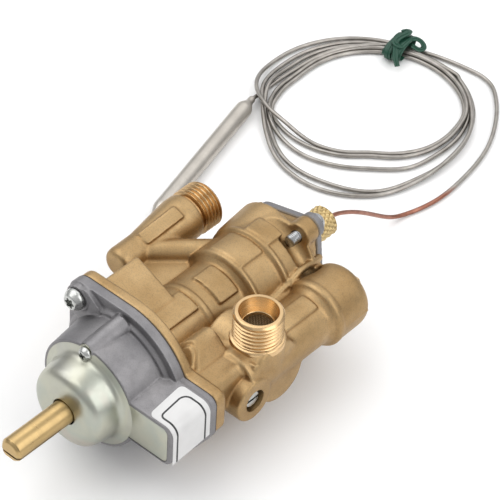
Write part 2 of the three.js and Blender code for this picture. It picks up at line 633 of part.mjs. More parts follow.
function bypassScrew() {
  const { y, z, end } = BYPASS;
  const head = rodX(y, z, 31, end - 1.6, 3.4, 3.4, 20);
  const needle = rodX(y, z, 26, 31.2, 0.6, 1.2, 12);
  const slot = block(end - 2.8, end, y - 4, y + 4, z - 0.5, z + 0.5);
  return cut(join(head, needle), slot);
}
const bypassSeal = () => {
  const { y, z } = BYPASS;
  return cut(rodX(y, z, 29.3, 30.7, 3.4, 3.4, 16), rodX(y, z, 28, 32, 1.6, 1.6, 16));
};

// ---- Rear end ----
const rearGasket = () =>
  cut(
    rearSlab(0.8, REAR.back + GAP * 0.9, REAR_PLATE.front - GAP * 0.9),
    rodY(0, 0, 100, 110, 11, 11, 28),
    ...rearAngles.map((angle) => {
      const [x, z] = rearSpot(angle);
      return rodY(x, z, 100, 110, 2.4, 2.4, 12);
    }),
  );

function rearPlate() {
  const plate = rearSlab(0, REAR_PLATE.front, REAR_PLATE.back);
  const boss = rodY(0, 0, REAR_PLATE.back - 0.5, NUT.front + 2, 6.4, 5.2, 24);
  const holes = rearAngles.map((angle) => {
    const [x, z] = rearSpot(angle);
    return rodY(x, z, 100, 110, 2.3, 2.3, 12);
  });
  return cut(join(plate, boss), rodY(0, 0, 100, 120, 3.3, 3.3, 20), ...holes);
}

function rearScrew(angle) {
  const [x, z] = rearSpot(angle);
  const head = rodY(x, z, REAR_PLATE.back + GAP, REAR_PLATE.back + 2.6, 3.4, 2.8, 16);
  const shank = rodY(x, z, 93.2, REAR_PLATE.back + 1, 2, 2, 14);
  return join(head, shank);
}

const knurledNut = () =>
  join(
    rodY(0, 0, NUT.front + 2 + GAP, NUT.back - 1, NUT.radius, NUT.radius, 24),
    rodY(0, 0, NUT.back - 1, NUT.back, NUT.radius, NUT.radius - 0.8, 24),
    rodY(0, 0, NUT.front - 4, NUT.front + 3, 2.9, 2.9, 16),
  );

// ---- Capillary, coil, tie and bulb ----
function capillaryTube() {
  const route = new THREE.CatmullRomCurve3(LEAD_ROUTE.map(([x, y, z]) => new THREE.Vector3(x, y, z)));
  const section = new THREE.Shape();
  section.absarc(0, 0, CAPILLARY_RADIUS, 0, Math.PI * 2);
  return solid(new THREE.ExtrudeGeometry(section, { steps: 50, curveSegments: 4, extrudePath: route }));
}

function ovalRing(grow = 0) {
  const { x, y, width, depth, inner, height, turn } = COIL;
  const low = -AXIS_HEIGHT;
  const edge = 1 + grow / width;
  const hole = inner - grow / width;
  const profile = [
    [hole, low - grow],
    [edge, low - grow],
    [edge, low + height + grow],
    [hole, low + height + grow],
    [hole, low - grow],
  ];
  const g = new THREE.LatheGeometry(profile.map(([r, z]) => new THREE.Vector2(r, z)), 40);
  g.rotateX(Math.PI / 2).scale(width, depth, 1).rotateZ(THREE.MathUtils.degToRad(turn));
  return solid(g.translate(x, y, 0));
}

// The tie sits over the bundle like a saddle.
function coilTie() {
  const { x, y, turn, length, inside, outside, height } = TIE;
  const g = new THREE.BoxGeometry(length, inside + outside, height);
  g.translate(0, (outside - inside) / 2, height / 2 - AXIS_HEIGHT);
  g.rotateZ(THREE.MathUtils.degToRad(turn)).translate(x, y, 0);
  return cut(solid(g), ovalRing(GAP));
}

function sensingBulb() {
  const { radius, tip, main, end, neck } = BULB;
  const span = Math.hypot(end[0] - tip[0], end[1] - tip[1]);
  const mainAt = Math.hypot(main[0] - tip[0], main[1] - tip[1]);
  const neckAt = Math.hypot(neck[0] - tip[0], neck[1] - tip[1]);
  const profile = [
    [0, 0],
    [1.2, 0],
    [radius, mainAt],
    [radius, span],
    [1, neckAt - 2],
    [1, neckAt],
    [0, neckAt],
  ];
  const g = new THREE.LatheGeometry(profile.map(([r, y]) => new THREE.Vector2(r, y)), 20);
  g.rotateZ(Math.atan2(neck[1] - tip[1], neck[0] - tip[0]) - Math.PI / 2);
  return solid(g.translate(tip[0], tip[1], radius - AXIS_HEIGHT));
}

// ---- The assembly ----
part("cover_plate", coverPlate(), zincSteel());
part("cap_screw_top", capScrew(1), steel());
part("cap_screw_bottom", capScrew(-1), steel());
part("front_housing", frontHousing(), castAluminium());
part("housing_screw_top", housingScrew(1), steel());
part("housing_screw_bottom", housingScrew(-1), steel());
part("front_gasket", frontGasket(), rubber());
part("label", label(), sticker());

part("spindle", spindle(), turnedBrass());
part("stop_washer", stopWasher(), steel());
part("push_bridge", pushBridge(), zincSteel());
part("circlip", circlip(), springSteel());
part("return_spring", coilSpring(0, 0, 18.8, 30.8, 7.4, 0.6, 4), springSteel());

part("plug_retainer", plugRetainer(), steel());
part("plug", plug(), turnedBrass());
part("regulating_screw", regulatingScrew(), turnedBrass());
part("regulating_sleeve", regulatingSleeve(), turnedBrass());
part("regulating_spring", coilSpring(0, 0, 66.3, 75, 3, 0.45, 3), springSteel());

part("thermostat_seat", thermostatSeat(), turnedBrass());
part("thermostat_disc", thermostatDisc(), turnedBrass());
part("thermostat_spring", coilSpring(0, 0, 80.9, 90.8, 4.4, 0.5, 4), springSteel());
part("bellows_bracket", bellowsBracket(), steel());
part("bellows_capsule", bellowsCapsule(), steel());

part("push_rod", pushRod(), steel());
part("rod_seal", rodSeal(), rubber());
part("safety_disc", safetyDisc(), steel());
part("safety_spring", coilSpring(SAFETY.x, 0, 55.5, 68.8, 3.4, 0.45, 4), springSteel());
part("magnet_unit", magnetUnit(), zincSteel());
part("thermocouple_bush", thermocoupleBush(), turnedBrass());

part("valve_body", valveBody(), castBrass());
part("inlet_filter", inletFilter(), turnedBrass());
part("bypass_screw", bypassScrew(), steel());
part("bypass_seal", bypassSeal(), rubber());

part("rear_gasket", rearGasket(), rubber());
part("rear_plate", rearPlate(), castAluminium());
rearAngles.forEach((angle, i) => part("rear_screw_" + (i + 1), rearScrew(angle), steel()));
part("knurled_nut", knurledNut(), turnedBrass());

part("capillary_tube", capillaryTube(), copper());
part("capillary_coil", ovalRing(), steel());
part("coil_tie", coilTie(), tieGreen());
part("sensing_bulb", sensingBulb(), steel());

export default valve;
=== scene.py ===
"""Looks of a thermostatic gas valve with a coiled capillary and a sensing bulb, built round the CAD part."""
import math

import bmesh
import bpy
import numpy as np
from mathutils import Matrix, Vector


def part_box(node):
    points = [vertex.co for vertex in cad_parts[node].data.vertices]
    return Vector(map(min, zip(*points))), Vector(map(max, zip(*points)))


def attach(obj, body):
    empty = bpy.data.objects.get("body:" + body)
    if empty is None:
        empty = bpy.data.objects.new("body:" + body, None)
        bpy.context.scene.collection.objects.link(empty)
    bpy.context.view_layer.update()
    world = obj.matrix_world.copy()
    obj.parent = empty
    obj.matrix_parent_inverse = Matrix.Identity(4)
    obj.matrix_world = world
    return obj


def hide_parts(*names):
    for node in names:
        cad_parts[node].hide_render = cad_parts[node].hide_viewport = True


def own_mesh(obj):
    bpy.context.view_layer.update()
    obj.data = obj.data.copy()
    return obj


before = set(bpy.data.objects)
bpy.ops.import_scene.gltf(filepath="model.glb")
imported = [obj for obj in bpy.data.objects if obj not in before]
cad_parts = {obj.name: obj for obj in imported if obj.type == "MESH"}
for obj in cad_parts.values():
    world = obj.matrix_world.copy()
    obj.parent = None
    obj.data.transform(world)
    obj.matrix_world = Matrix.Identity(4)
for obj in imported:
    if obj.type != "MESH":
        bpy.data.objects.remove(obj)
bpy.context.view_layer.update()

# ---- Frame ----
# Pieces are drawn in millimetres from the main axis, with y = 0 just in front of the dome,
# and placed in the row frame, in metres, by place().
MM = 0.001
DOME_FRONT = 2.0
spindle_low, spindle_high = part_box("spindle")
START = np.array([
    (spindle_low.x + spindle_high.x) / 2,
    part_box("cover_plate")[0].y - DOME_FRONT * MM,
    (spindle_low.z + spindle_high.z) / 2,
])


def place(points):
    return np.asarray(points, float) * MM + START


# ---- Camera, floor and light ----
CAMERA_PLACE = (0.43752, -0.49337, 0.67360)
CAMERA_AZIMUTH = math.radians(39.7)
CAMERA_ELEVATION = math.radians(42.95)
CAMERA_ROLL = math.radians(3.3)
CAMERA_LENS = 216
AIM = Vector((0.0, 0.04, 0.02))


def make_camera():
    data = bpy.data.cameras.new("camera")
    data.lens = CAMERA_LENS
    data.sensor_width = 36
    data.clip_start = 0.01
    camera = bpy.data.objects.new("camera", data)
    bpy.context.scene.collection.objects.link(camera)
    forward = Vector((
        -math.sin(CAMERA_AZIMUTH) * math.cos(CAMERA_ELEVATION),
        math.cos(CAMERA_AZIMUTH) * math.cos(CAMERA_ELEVATION),
        -math.sin(CAMERA_ELEVATION),
    ))
    level = Vector((math.cos(CAMERA_AZIMUTH), math.sin(CAMERA_AZIMUTH), 0))
    upright = level.cross(forward)
    right = level * math.cos(CAMERA_ROLL) + upright * math.sin(CAMERA_ROLL)
    up = upright * math.cos(CAMERA_ROLL) - level * math.sin(CAMERA_ROLL)
    turn = Matrix((right, up, -forward)).transposed()
    camera.matrix_world = Matrix.Translation(CAMERA_PLACE) @ turn.to_4x4()
    bpy.context.scene.camera = camera


def area_light(name, azimuth, elevation, distance, size, power):
    """A soft box that looks at the valve. Azimuth 0 is in front of it, 90 on its +X side."""
    data = bpy.data.lights.new(name, "AREA")
    data.shape = "RECTANGLE"
    data.size, data.size_y = size
    data.energy = power
    light = bpy.data.objects.new(name, data)
    bpy.context.scene.collection.objects.link(light)
    a, e = math.radians(azimuth), math.radians(elevation)
    away = Vector((math.sin(a) * math.cos(e), -math.cos(a) * math.cos(e), math.sin(e)))
    light.location = AIM + away * distance
    light.rotation_mode = "QUATERNION"
    light.rotation_quaternion = away.to_track_quat("Z", "Y")


def make_studio():
    world = bpy.data.worlds.new("studio")
    world.use_nodes = True
    nodes, links = world.node_tree.nodes, world.node_tree.links
    background = nodes["Background"]
    coordinates = nodes.new("ShaderNodeTexCoord")
    split = nodes.new("ShaderNodeSeparateXYZ")
    ramp = nodes.new("ShaderNodeValToRGB")
    ramp.color_ramp.elements[0].position = 0.0
    ramp.color_ramp.elements[0].color = (0.48, 0.48, 0.49, 1)
    ramp.color_ramp.elements[1].position = 0.75
    ramp.color_ramp.elements[1].color = (0.92, 0.92, 0.92, 1)
    links.new(coordinates.outputs["Generated"], split.inputs[0])
    links.new(split.outputs["Z"], ramp.inputs[0])
    links.new(ramp.outputs[0], background.inputs["Color"])
    background.inputs["Strength"].default_value = 0.84
    bpy.context.scene.world = world
    area_light("key", -60, 60, 0.9, (0.9, 0.9), 3.5)
    area_light("fill", 95, 35, 1.0, (0.7, 0.9), 3.3)
    area_light("back", -140, 50, 1.2, (1.5, 1.1), 3.0)
    area_light("rim", 150, 50, 1.2, (1.0, 0.9), 1.8)
    bpy.context.scene.view_settings.view_transform = "Standard"

    floor = bpy.data.meshes.new("floor")
    reach = 3.0
    floor.from_pydata([(-reach, -reach, 0), (reach, -reach, 0), (reach, reach, 0), (-reach, reach, 0)], [],
                      [(0, 1, 2, 3)])
    floor_object = bpy.data.objects.new("floor", floor)
    floor_object.location.z = -0.0002
    bpy.context.scene.collection.objects.link(floor_object)
    pale = bpy.data.materials.new("pale_floor")
    pale.use_nodes = True
    shader = pale.node_tree.nodes["Principled BSDF"]
    shader.inputs["Base Color"].default_value = (0.93, 0.93, 0.93, 1)
    shader.inputs["Roughness"].default_value = 0.9
    floor.materials.append(pale)


make_camera()
make_studio()


# ---- Materials ----
class Shader:
    """A material's nodes, with short ways to add noise, ramps and bumps in object space."""

    def __init__(self, name):
        self.material = bpy.data.materials.new(name)
        self.material.use_nodes = True
        self.nodes = self.material.node_tree.nodes
        self.links = self.material.node_tree.links
        self.surface = self.nodes["Principled BSDF"]
        self.place = self.nodes.new("ShaderNodeTexCoord").outputs["Object"]
        self.height = None

    def set(self, **values):
        for name, value in values.items():
            self.surface.inputs[name.replace("_", " ")].default_value = value

    def noise(self, scale, detail=3.0, stretch=None, distortion=0.0):
        texture = self.nodes.new("ShaderNodeTexNoise")
        texture.inputs["Scale"].default_value = scale
        texture.inputs["Detail"].default_value = detail
        texture.inputs["Distortion"].default_value = distortion
        source = self.place
        if stretch:
            mapping = self.nodes.new("ShaderNodeMapping")
            mapping.inputs["Scale"].default_value = stretch
            self.links.new(self.place, mapping.inputs[0])
            source = mapping.outputs[0]
        self.links.new(source, texture.inputs["Vector"])
        return texture.outputs[0]

    def ramp(self, value, stops):
        node = self.nodes.new("ShaderNodeValToRGB")
        elements = node.color_ramp.elements
        while len(elements) < len(stops):
            elements.new(0.5)
        for element, (position, colour) in zip(elements, stops):
            element.position = position
            element.color = (*colour, 1) if len(colour) == 3 else colour
        self.links.new(value, node.inputs[0])
        return node.outputs[0]

    def mix(self, share, a, b, blend="MIX"):
        node = self.nodes.new("ShaderNodeMix")
        node.data_type = "RGBA"
        node.blend_type = blend
        for socket, value in ((0, share), (6, a), (7, b)):
            if isinstance(value, (int, float, tuple)):
                node.inputs[socket].default_value = (*value, 1) if isinstance(value, tuple) else value
            else:
                self.links.new(value, node.inputs[socket])
        return node.outputs[2]

    def spread(self, value, low, high, out_low, out_high):
        node = self.nodes.new("ShaderNodeMapRange")
        for socket, number in enumerate((low, high, out_low, out_high)):
            node.inputs[socket + 1].default_value = number
        self.links.new(value, node.inputs[0])
        return node.outputs[0]

    def colour(self, value):
        self.links.new(value, self.surface.inputs["Base Color"])

    def roughness(self, value):
        self.links.new(value, self.surface.inputs["Roughness"])

    def bump(self, value, strength, distance):
        node = self.nodes.new("ShaderNodeBump")
        node.inputs["Strength"].default_value = strength
        node.inputs["Distance"].default_value = distance
        self.links.new(value, node.inputs["Height"])
        if self.height is not None:
            self.links.new(self.height, node.inputs["Normal"])
        self.height = node.outputs[0]
        self.links.new(self.height, self.surface.inputs["Normal"])


def cast_metal(name, dark, light, rough, grain, pits, dirt_and_shade):
    """Cast or hot-pressed metal: a fine blasted skin over slow changes of tone."""
    s = Shader(name)
    s.set(Metallic=1.0)
    slow = s.noise(70, 4)
    fine = s.noise(grain, 2)
    tone = s.ramp(slow, [(0.32, dark), (0.68, light)])
    speck = s.ramp(fine, [(0.36, tuple(c * (1 - pits) for c in light)), (0.52, light)])
    worn = s.mix(0.35, tone, speck, "MULTIPLY")
    # Darker in hollows, found by pointiness: partly dirt in the recesses, partly painted shade in place of ambient
    # occlusion.
    geometry = s.nodes.new("ShaderNodeNewGeometry")
    hollow = s.ramp(geometry.outputs["Pointiness"], [(0.44, dirt_and_shade), (0.50, (1, 1, 1))])
    s.colour(s.mix(1.0, worn, hollow, "MULTIPLY"))
    s.roughness(s.spread(s.noise(420, 3), 0.3, 0.7, rough - 0.05, rough + 0.07))
    s.bump(s.noise(900, 3), 0.3, 0.00008)
    s.bump(fine, 0.6, 0.00006)
    return s.material


def turned_metal(name, base, rough, scratch=(1, 1, 1), tint=0.85, scale=1200):
    """Machined metal: fine tool marks, stretched along the given axes, and faint stains."""
    s = Shader(name)
    s.set(Metallic=1.0)
    marks = s.noise(scale, 3, stretch=scratch)
    stain = s.noise(130, 4)
    s.colour(s.ramp(stain, [(0.3, tuple(c * tint for c in base)), (0.62, base)]))
    s.roughness(s.spread(marks, 0.3, 0.7, rough - 0.06, rough + 0.08))
    s.bump(marks, 0.25, 0.00003)
    return s.material


def plated_steel(name):
    """Bright zinc plate with a faint green and yellow passivation film."""
    s = Shader(name)
    s.set(Metallic=1.0)
    film = s.noise(55, 3, distortion=0.6)
    s.colour(s.ramp(film, [(0.30, (0.42, 0.42, 0.375)), (0.45, (0.47, 0.47, 0.39)), (0.58, (0.42, 0.44, 0.385)),
                           (0.72, (0.47, 0.435, 0.38))]))
    s.roughness(s.spread(s.noise(600, 3), 0.3, 0.7, 0.30, 0.38))
    s.bump(s.noise(2500, 2), 0.06, 0.00002)
    return s.material


def plain_plastic(name, base, rough, grain=2500):
    s = Shader(name)
    s.colour(s.ramp(s.noise(grain / 20, 3), [(0.3, tuple(c * 0.9 for c in base)), (0.7, base)]))
    s.roughness(s.spread(s.noise(grain, 2), 0.3, 0.7, rough - 0.05, rough + 0.05))
    s.bump(s.noise(grain, 3), 0.2, 0.00003)
    return s.material


def capillary_metal(name, copper_end):
    """Drawn tube: copper coloured next to the nut, then grey steel. copper_end is a y in metres."""
    s = Shader(name)
    s.set(Metallic=1.0)
    split = s.nodes.new("ShaderNodeSeparateXYZ")
    s.links.new(s.place, split.inputs[0])
    across = s.nodes.new("ShaderNodeMath")
    across.operation = "MULTIPLY_ADD"
    across.inputs[1].default_value = -4.0
    s.links.new(split.outputs["X"], across.inputs[0])
    s.links.new(split.outputs["Y"], across.inputs[2])
    share = s.spread(across.outputs[0], copper_end - 0.004, copper_end + 0.004, 0, 1)
    steel = s.ramp(s.noise(260, 3), [(0.3, (0.30, 0.28, 0.255)), (0.7, (0.43, 0.405, 0.375))])
    copper = s.ramp(s.noise(300, 3), [(0.3, (0.26, 0.11, 0.075)), (0.7, (0.40, 0.19, 0.135))])
    s.colour(s.mix(share, copper, steel))
    s.roughness(s.spread(s.noise(900, 3), 0.3, 0.7, 0.28, 0.40))
    s.bump(s.noise(1800, 3), 0.15, 0.00002)
    return s.material


# The last colour of each cast metal darkens its hollows: dirt and painted shade.
BRASS_CAST = cast_metal("cast_brass", (0.42, 0.29, 0.145), (0.58, 0.425, 0.235), 0.45, 2300, 0.72,
                        (0.58, 0.42, 0.27))
BRASS_TURNED = turned_metal("turned_brass", (0.68, 0.47, 0.25), 0.26, (0.05, 0.05, 3))
# A darker, more orange copy of the turned brass for the outlet thread: a painted warm reflection.
BRASS_OUTLET_PAINTED_REFLECTION = turned_metal("turned_brass_outlet_painted_reflection", (0.58, 0.39, 0.20), 0.28, (0.05, 3, 0.05))
BRASS_SPINDLE = turned_metal("spindle_brass", (0.50, 0.355, 0.165), 0.32, (0.05, 1.6, 0.05))
BRASS_KNURL = turned_metal("knurled_brass", (0.57, 0.43, 0.21), 0.4, (1, 1, 1))
ALUMINIUM = cast_metal("cast_aluminium", (0.29, 0.285, 0.295), (0.385, 0.375, 0.38), 0.54, 2300, 0.5,
                       (0.7, 0.7, 0.7))
ZINC = plated_steel("zinc_plate")
STEEL = turned_metal("plated_screw_steel", (0.56, 0.57, 0.55), 0.28, (1, 1, 1), 0.8, 700)
BULB_STEEL = turned_metal("bulb_steel", (0.55, 0.515, 0.465), 0.38, (1, 1, 1), 0.85, 1500)
SPRING = turned_metal("spring_wire", (0.42, 0.43, 0.44), 0.30)
WIRE = turned_metal("filter_wire", (0.20, 0.15, 0.09), 0.4)
SHEET = plain_plastic("gasket_sheet", (0.055, 0.042, 0.032), 0.7)
REAR_SHEET = plain_plastic("rear_gasket_sheet", (0.17, 0.14, 0.105), 0.6)
RUBBER = plain_plastic("black_rubber", (0.018, 0.018, 0.019), 0.65)
STICKER = plain_plastic("label_film", (0.67, 0.665, 0.66), 0.38)
INK = plain_plastic("label_ink", (0.02, 0.02, 0.022), 0.4)
TIE = plain_plastic("green_tie", (0.008, 0.062, 0.036), 0.42, 1800)


# ---- Mesh tools ----
def to_mesh(vertices, faces):
    mesh = bpy.data.meshes.new("shell")
    mesh.from_pydata([tuple(v) for v in vertices], [], [tuple(int(i) for i in f) for f in faces])
    bm = bmesh.new()
    bm.from_mesh(mesh)
    bmesh.ops.remove_doubles(bm, verts=bm.verts, dist=1e-5)
    bmesh.ops.recalc_face_normals(bm, faces=bm.faces)
    bm.to_mesh(mesh)
    bm.free()
    return mesh


def skin(rows, loop=False):
    """A closed skin over rings of points, with flat ends or, with loop, joined end to end."""
    rows = np.asarray(rows, float)
    count, around = rows.shape[:2]
    vertices = rows.reshape(-1, 3)
    faces = []
    for i in range(count if loop else count - 1):
        j = (i + 1) % count
        for k in range(around):
            m = (k + 1) % around
            faces.append((i * around + k, i * around + m, j * around + m, j * around + k))
    if not loop:
        faces.append(tuple(range(around))[::-1])
        faces.append(tuple((count - 1) * around + k for k in range(around)))
    return to_mesh(vertices, faces)


AXES = {"x": (1, 2, 0), "y": (0, 2, 1), "z": (0, 1, 2)}  # across, across, along


def soften(points, size, steps=3, closed=False):
    """Rounds the corners of a line of points."""
    points = [np.array(p, float) for p in points]
    count = len(points)
    made = []
    for i, p in enumerate(points):
        if not closed and i in (0, count - 1):
            made.append(p)
            continue
        before, after = points[i - 1] - p, points[(i + 1) % count] - p
        reach_before = min(size, np.linalg.norm(before) * 0.45)
        reach_after = min(size, np.linalg.norm(after) * 0.45)
        if reach_before < 1e-6 or reach_after < 1e-6:
            made.append(p)
            continue
        a = p + before / np.linalg.norm(before) * reach_before
        b = p + after / np.linalg.norm(after) * reach_after
        for t in np.linspace(0, 1, steps + 1):
            made.append(a * (1 - t) ** 2 + p * 2 * t * (1 - t) + b * t ** 2)
    return made


def revolve(profile, axis, centre, sides=96, soft=0.0, ripple=None, step=None):
    """A turned solid. The profile is (radius, along) pairs; if it ends where it starts, it is a ring.
    ripple(angle, along) is added to the radius where the profile's pairs have a third value, 1."""
    closed = tuple(profile[0][:2]) == tuple(profile[-1][:2])
    points = [np.array([*p, 0.0][:3], float) for p in (profile[:-1] if closed else profile)]
    if step:
        dense = []
        for p, q in zip(points, points[1:] + points[:1] if closed else points[1:]):
            dense.append(p)
            if p[2] and q[2]:
                pieces = max(1, int(round(np.linalg.norm(q[:2] - p[:2]) / step)))
                dense.extend(p + (q - p) * k / pieces for k in range(1, pieces))
        points = dense + ([] if closed else [points[-1]])
    elif soft:
        points = soften(points, soft, closed=closed)
    angles = np.linspace(0, 2 * math.pi, sides, endpoint=False)
    first, second, along = AXES[axis]
    rows = np.zeros((len(points), sides, 3))
    for i, (radius, a, rippled) in enumerate(points):
        r = np.full(sides, max(radius, 0.0))
        if ripple and rippled:
            r = r + ripple(angles, a) * rippled
        rows[i, :, first] = centre[0] + r * np.cos(angles)
        rows[i, :, second] = centre[1] + r * np.sin(angles)
        rows[i, :, along] = a
    return skin(rows, loop=closed)


def prism(outline, axis, low, high, edge=0.0, segments=2):
    """An outline of (across, across) pairs, given thickness along an axis, with rounded edges."""
    first, second, along = AXES[axis]
    rows = np.zeros((2, len(outline), 3))
    for i, a in enumerate((low, high)):
        rows[i, :, first] = [p[0] for p in outline]
        rows[i, :, second] = [p[1] for p in outline]
        rows[i, :, along] = a
    mesh = skin(rows)
    if edge:
        bm = bmesh.new()
        bm.from_mesh(mesh)
        rim = [e for e in bm.edges if len(e.link_faces) == 2 and e.calc_face_angle(0) > math.radians(50)]
        bmesh.ops.bevel(bm, geom=rim, offset=edge, segments=segments, profile=0.5, affect="EDGES",
                        clamp_overlap=True)
        bm.to_mesh(mesh)
        bm.free()
    return mesh


def rounded_rectangle(left, right, bottom, top, corner, steps=8):
    middles = ((right - corner, bottom + corner, -90), (right - corner, top - corner, 0),
               (left + corner, top - corner, 90), (left + corner, bottom + corner, 180))
    return [
        (x + corner * math.cos(math.radians(a)), y + corner * math.sin(math.radians(a)))
        for x, y, start in middles
        for a in np.linspace(start, start + 90, steps + 1)
    ]


def arc(x, z, radius, start, end, steps=12):
    return [
        (x + radius * math.cos(math.radians(a)), z + radius * math.sin(math.radians(a)))
        for a in np.linspace(start, end, steps + 1)
    ]


def rod(axis, centre, low, high, radius, far=None, sides=64, edge=0.0):
    """A cylinder or cone, with its two edges rounded."""
    far = radius if far is None else far
    if edge:
        profile = soften([(0.001, low), (radius, low), (far, high), (0.001, high)], edge)
        return revolve(profile, axis, centre, sides)
    return revolve([(radius, low), (far, high)], axis, centre, sides)


def joined(meshes):
    bm = bmesh.new()
    for mesh in meshes:
        bm.from_mesh(mesh)
        bpy.data.meshes.remove(mesh)
    made = bpy.data.meshes.new("joined")
    bm.to_mesh(made)
    bm.free()
    return made


def temporary(mesh):
    o = bpy.data.objects.new("temporary", mesh)
    bpy.context.scene.collection.objects.link(o)
    return o


def settled(o):
    """The mesh of an object with its modifiers applied. The object is removed."""
    bpy.context.view_layer.update()
    evaluated = o.evaluated_get(bpy.context.evaluated_depsgraph_get())
    mesh = bpy.data.meshes.new_from_object(evaluated)
    bpy.data.objects.remove(o)
    return mesh


def fused(meshes, voxel, smoothing):
    """One cast skin over overlapping shells, with fillets where they meet. Sizes in millimetres."""
    o = temporary(joined(meshes))
    remesh = o.modifiers.new("remesh", "REMESH")
    remesh.mode = "VOXEL"
    remesh.voxel_size = voxel
    smooth = o.modifiers.new("smooth", "SMOOTH")
    smooth.factor = 0.5
    smooth.iterations = smoothing
    return settled(o)


def carved(mesh, tools):
    """The mesh less each tool."""
    o = temporary(mesh)
    helpers = []
    for i, tool in enumerate(tools):
        helper = temporary(tool)
        helpers.append(helper)
        cut = o.modifiers.new(f"cut_{i}", "BOOLEAN")
        cut.operation = "DIFFERENCE"
        cut.solver = "MANIFOLD"
        cut.object = helper
    made = settled(o)
    for helper in helpers:
        bpy.data.objects.remove(helper)
    return made


def piece(name, mesh, body, slot, material, *replaces, crease=38):
    """Places a mesh that is in millimetres as a piece of the valve."""
    coordinates = np.zeros(len(mesh.vertices) * 3)
    mesh.vertices.foreach_get("co", coordinates)
    mesh.vertices.foreach_set("co", place(coordinates.reshape(-1, 3)).ravel())
    mesh.polygons.foreach_set("use_smooth", [True] * len(mesh.polygons))
    mesh.set_sharp_from_angle(angle=math.radians(crease))
    mesh.update()
    mesh.name = name
    mesh.materials.clear()
    mesh.materials.append(material)
    o = bpy.data.objects.new(name, mesh)
    bpy.context.scene.collection.objects.link(o)
    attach(o, body)
    if replaces:
        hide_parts(*replaces)
    return o


# ---- Capillary ----
CAPILLARY_DIAMETER = 1.5
AXIS_HEIGHT = 25.0
REST_Z = -AXIS_HEIGHT + CAPILLARY_DIAMETER / 2 + 0.05
LEAD_ROUTE = [
    (0, 121.0, 0), (0, 122.6, 0), (0, 127.5, -1.3), (0, 132.5, -3.8), (0, 138, -7.3), (-0.2, 143.5, -11.5),
    (-0.4, 149, -16), (-0.3, 154.5, -20.3), (0.2, 159.5, -23.2), (1.4, 164.6, REST_Z), (3, 170, REST_Z),
    (4.1, 176.5, REST_Z), (4.2, 184.3, REST_Z), (3.3, 193.5, REST_Z), (1.9, 201.5, REST_Z), (-0.4, 209.5, REST_Z),
    (-4.2, 217.8, REST_Z), (-9.6, 226.3, REST_Z), (-15.4, 233, REST_Z), (-20.4, 236.9, REST_Z),
    (-26, 238.4, REST_Z), (-32, 238, REST_Z), (-38, 237.1, REST_Z), (-43.8, 235.8, REST_Z), (-49.1, 234.1, REST_Z),
]
# The coil: each turn starts at the tie and goes round by the left. A turn gives its distance from the
# coil's centre and its height over the surface at each key angle, in degrees.
COIL_CENTRE = (-44.0, 195.0)
KEY_ANGLES = (106, 140, 180, 205, 225, 245, 270, 292, 315, 338, 360, 385, 405, 435)
TURNS = (
    ((38.6, 39.2, 39.5, 38.8, 34.4, 29.4, 26.3, 24.1, 22.7, 25.3, 28.8, 32.4, 35.3, 35.2),
     (0, 0, 0, 1.9, 3.0, 2.6, 0.6, 0, 0, 0, 0, 0, 0, 0)),
    ((33.8, 30.9, 27.8, 29.5, 31.8, 30.4, 27.9, 25.9, 24.4, 27.2, 30.4, 33.6, 36.1, 36.2),
     (0, 0, 0, 0, 0, 0, 0, 0, 0, 0, 0.2, 0.8, 1.3, 1.3)),
    ((34.6, 32.4, 29.4, 31.3, 32.9, 33.1, 32.8, 31.6, 31.0, 33.2, 33.4, 35.4, 36.9, 37.0),
     (1.3, 0.5, 0, 0.2, 0.9, 0.3, 0, 0, 0, 0, 0, 0, 0, 0)),
    ((35.4, 34.9, 33.5, 34.4, 34.3, 35.0, 39.3, 41.2, 42.7, 39.4, 38.1, 37.9, 38.4, 38.6),
     (0, 0, 0, 1.6, 0, 0, 0, 0, 0, 0, 0, 0, 0, 0)),
    ((37.0, 36.8, 36.0, 36.2, 35.1, 36.9, 42.0, 45.1, 44.6, 40.9, 38.7, 38.1, 37.6, 37.9),
     (0, 0, 0, 1.3, 1.5, 0.9, 0, 0, 0, 0.6, 1.45, 1.5, 1.3, 1.3)),
)
LAST_ROUTE = [
    (-54.0, 229.8, 1.3), (-63.0, 223.6, 1.4), (-70.0, 214.5, 1.2), (-74.0, 205.0, 0.4), (-75.2, 195.0, 0),
    (-75.5, 187.0, 0), (-75.4, 181.0, 0), (-74.9, 176.0, 0.3), (-74.0, 171.6, 1.6), (-73.4, 169.3, 2.2),
]


def smooth_line(points, steps):
    """A Catmull-Rom line through the points."""
    points = np.asarray(points, float)
    ends = np.vstack([2 * points[0] - points[1], points, 2 * points[-1] - points[-2]])
    line = []
    for p0, p1, p2, p3 in zip(ends, ends[1:], ends[2:], ends[3:]):
        for t in np.arange(steps) / steps:
            line.append(0.5 * (2 * p1 + (p2 - p0) * t + (2 * p0 - 5 * p1 + 4 * p2 - p3) * t ** 2
                               + (3 * p1 - p0 - 3 * p2 + p3) * t ** 3))
    line.append(points[-1])
    return np.array(line)


def coil_points():
    keys = []
    for turn, (radii, lifts) in enumerate(TURNS):
        for angle, radius, lift in zip(KEY_ANGLES, radii, lifts):
            keys.append((angle + 360 * turn, radius, lift))
    last = TURNS[-1]
    keys.append((466 + 360 * (len(TURNS) - 1), 36.2, last[1][-1]))
    polar = smooth_line(keys, 4)
    points = []
    for angle, radius, lift in polar[:-4]:
        a = math.radians(angle)
        points.append((COIL_CENTRE[0] + radius * math.cos(a), COIL_CENTRE[1] + radius * math.sin(a),
                       REST_Z + max(lift, 0)))
    return points


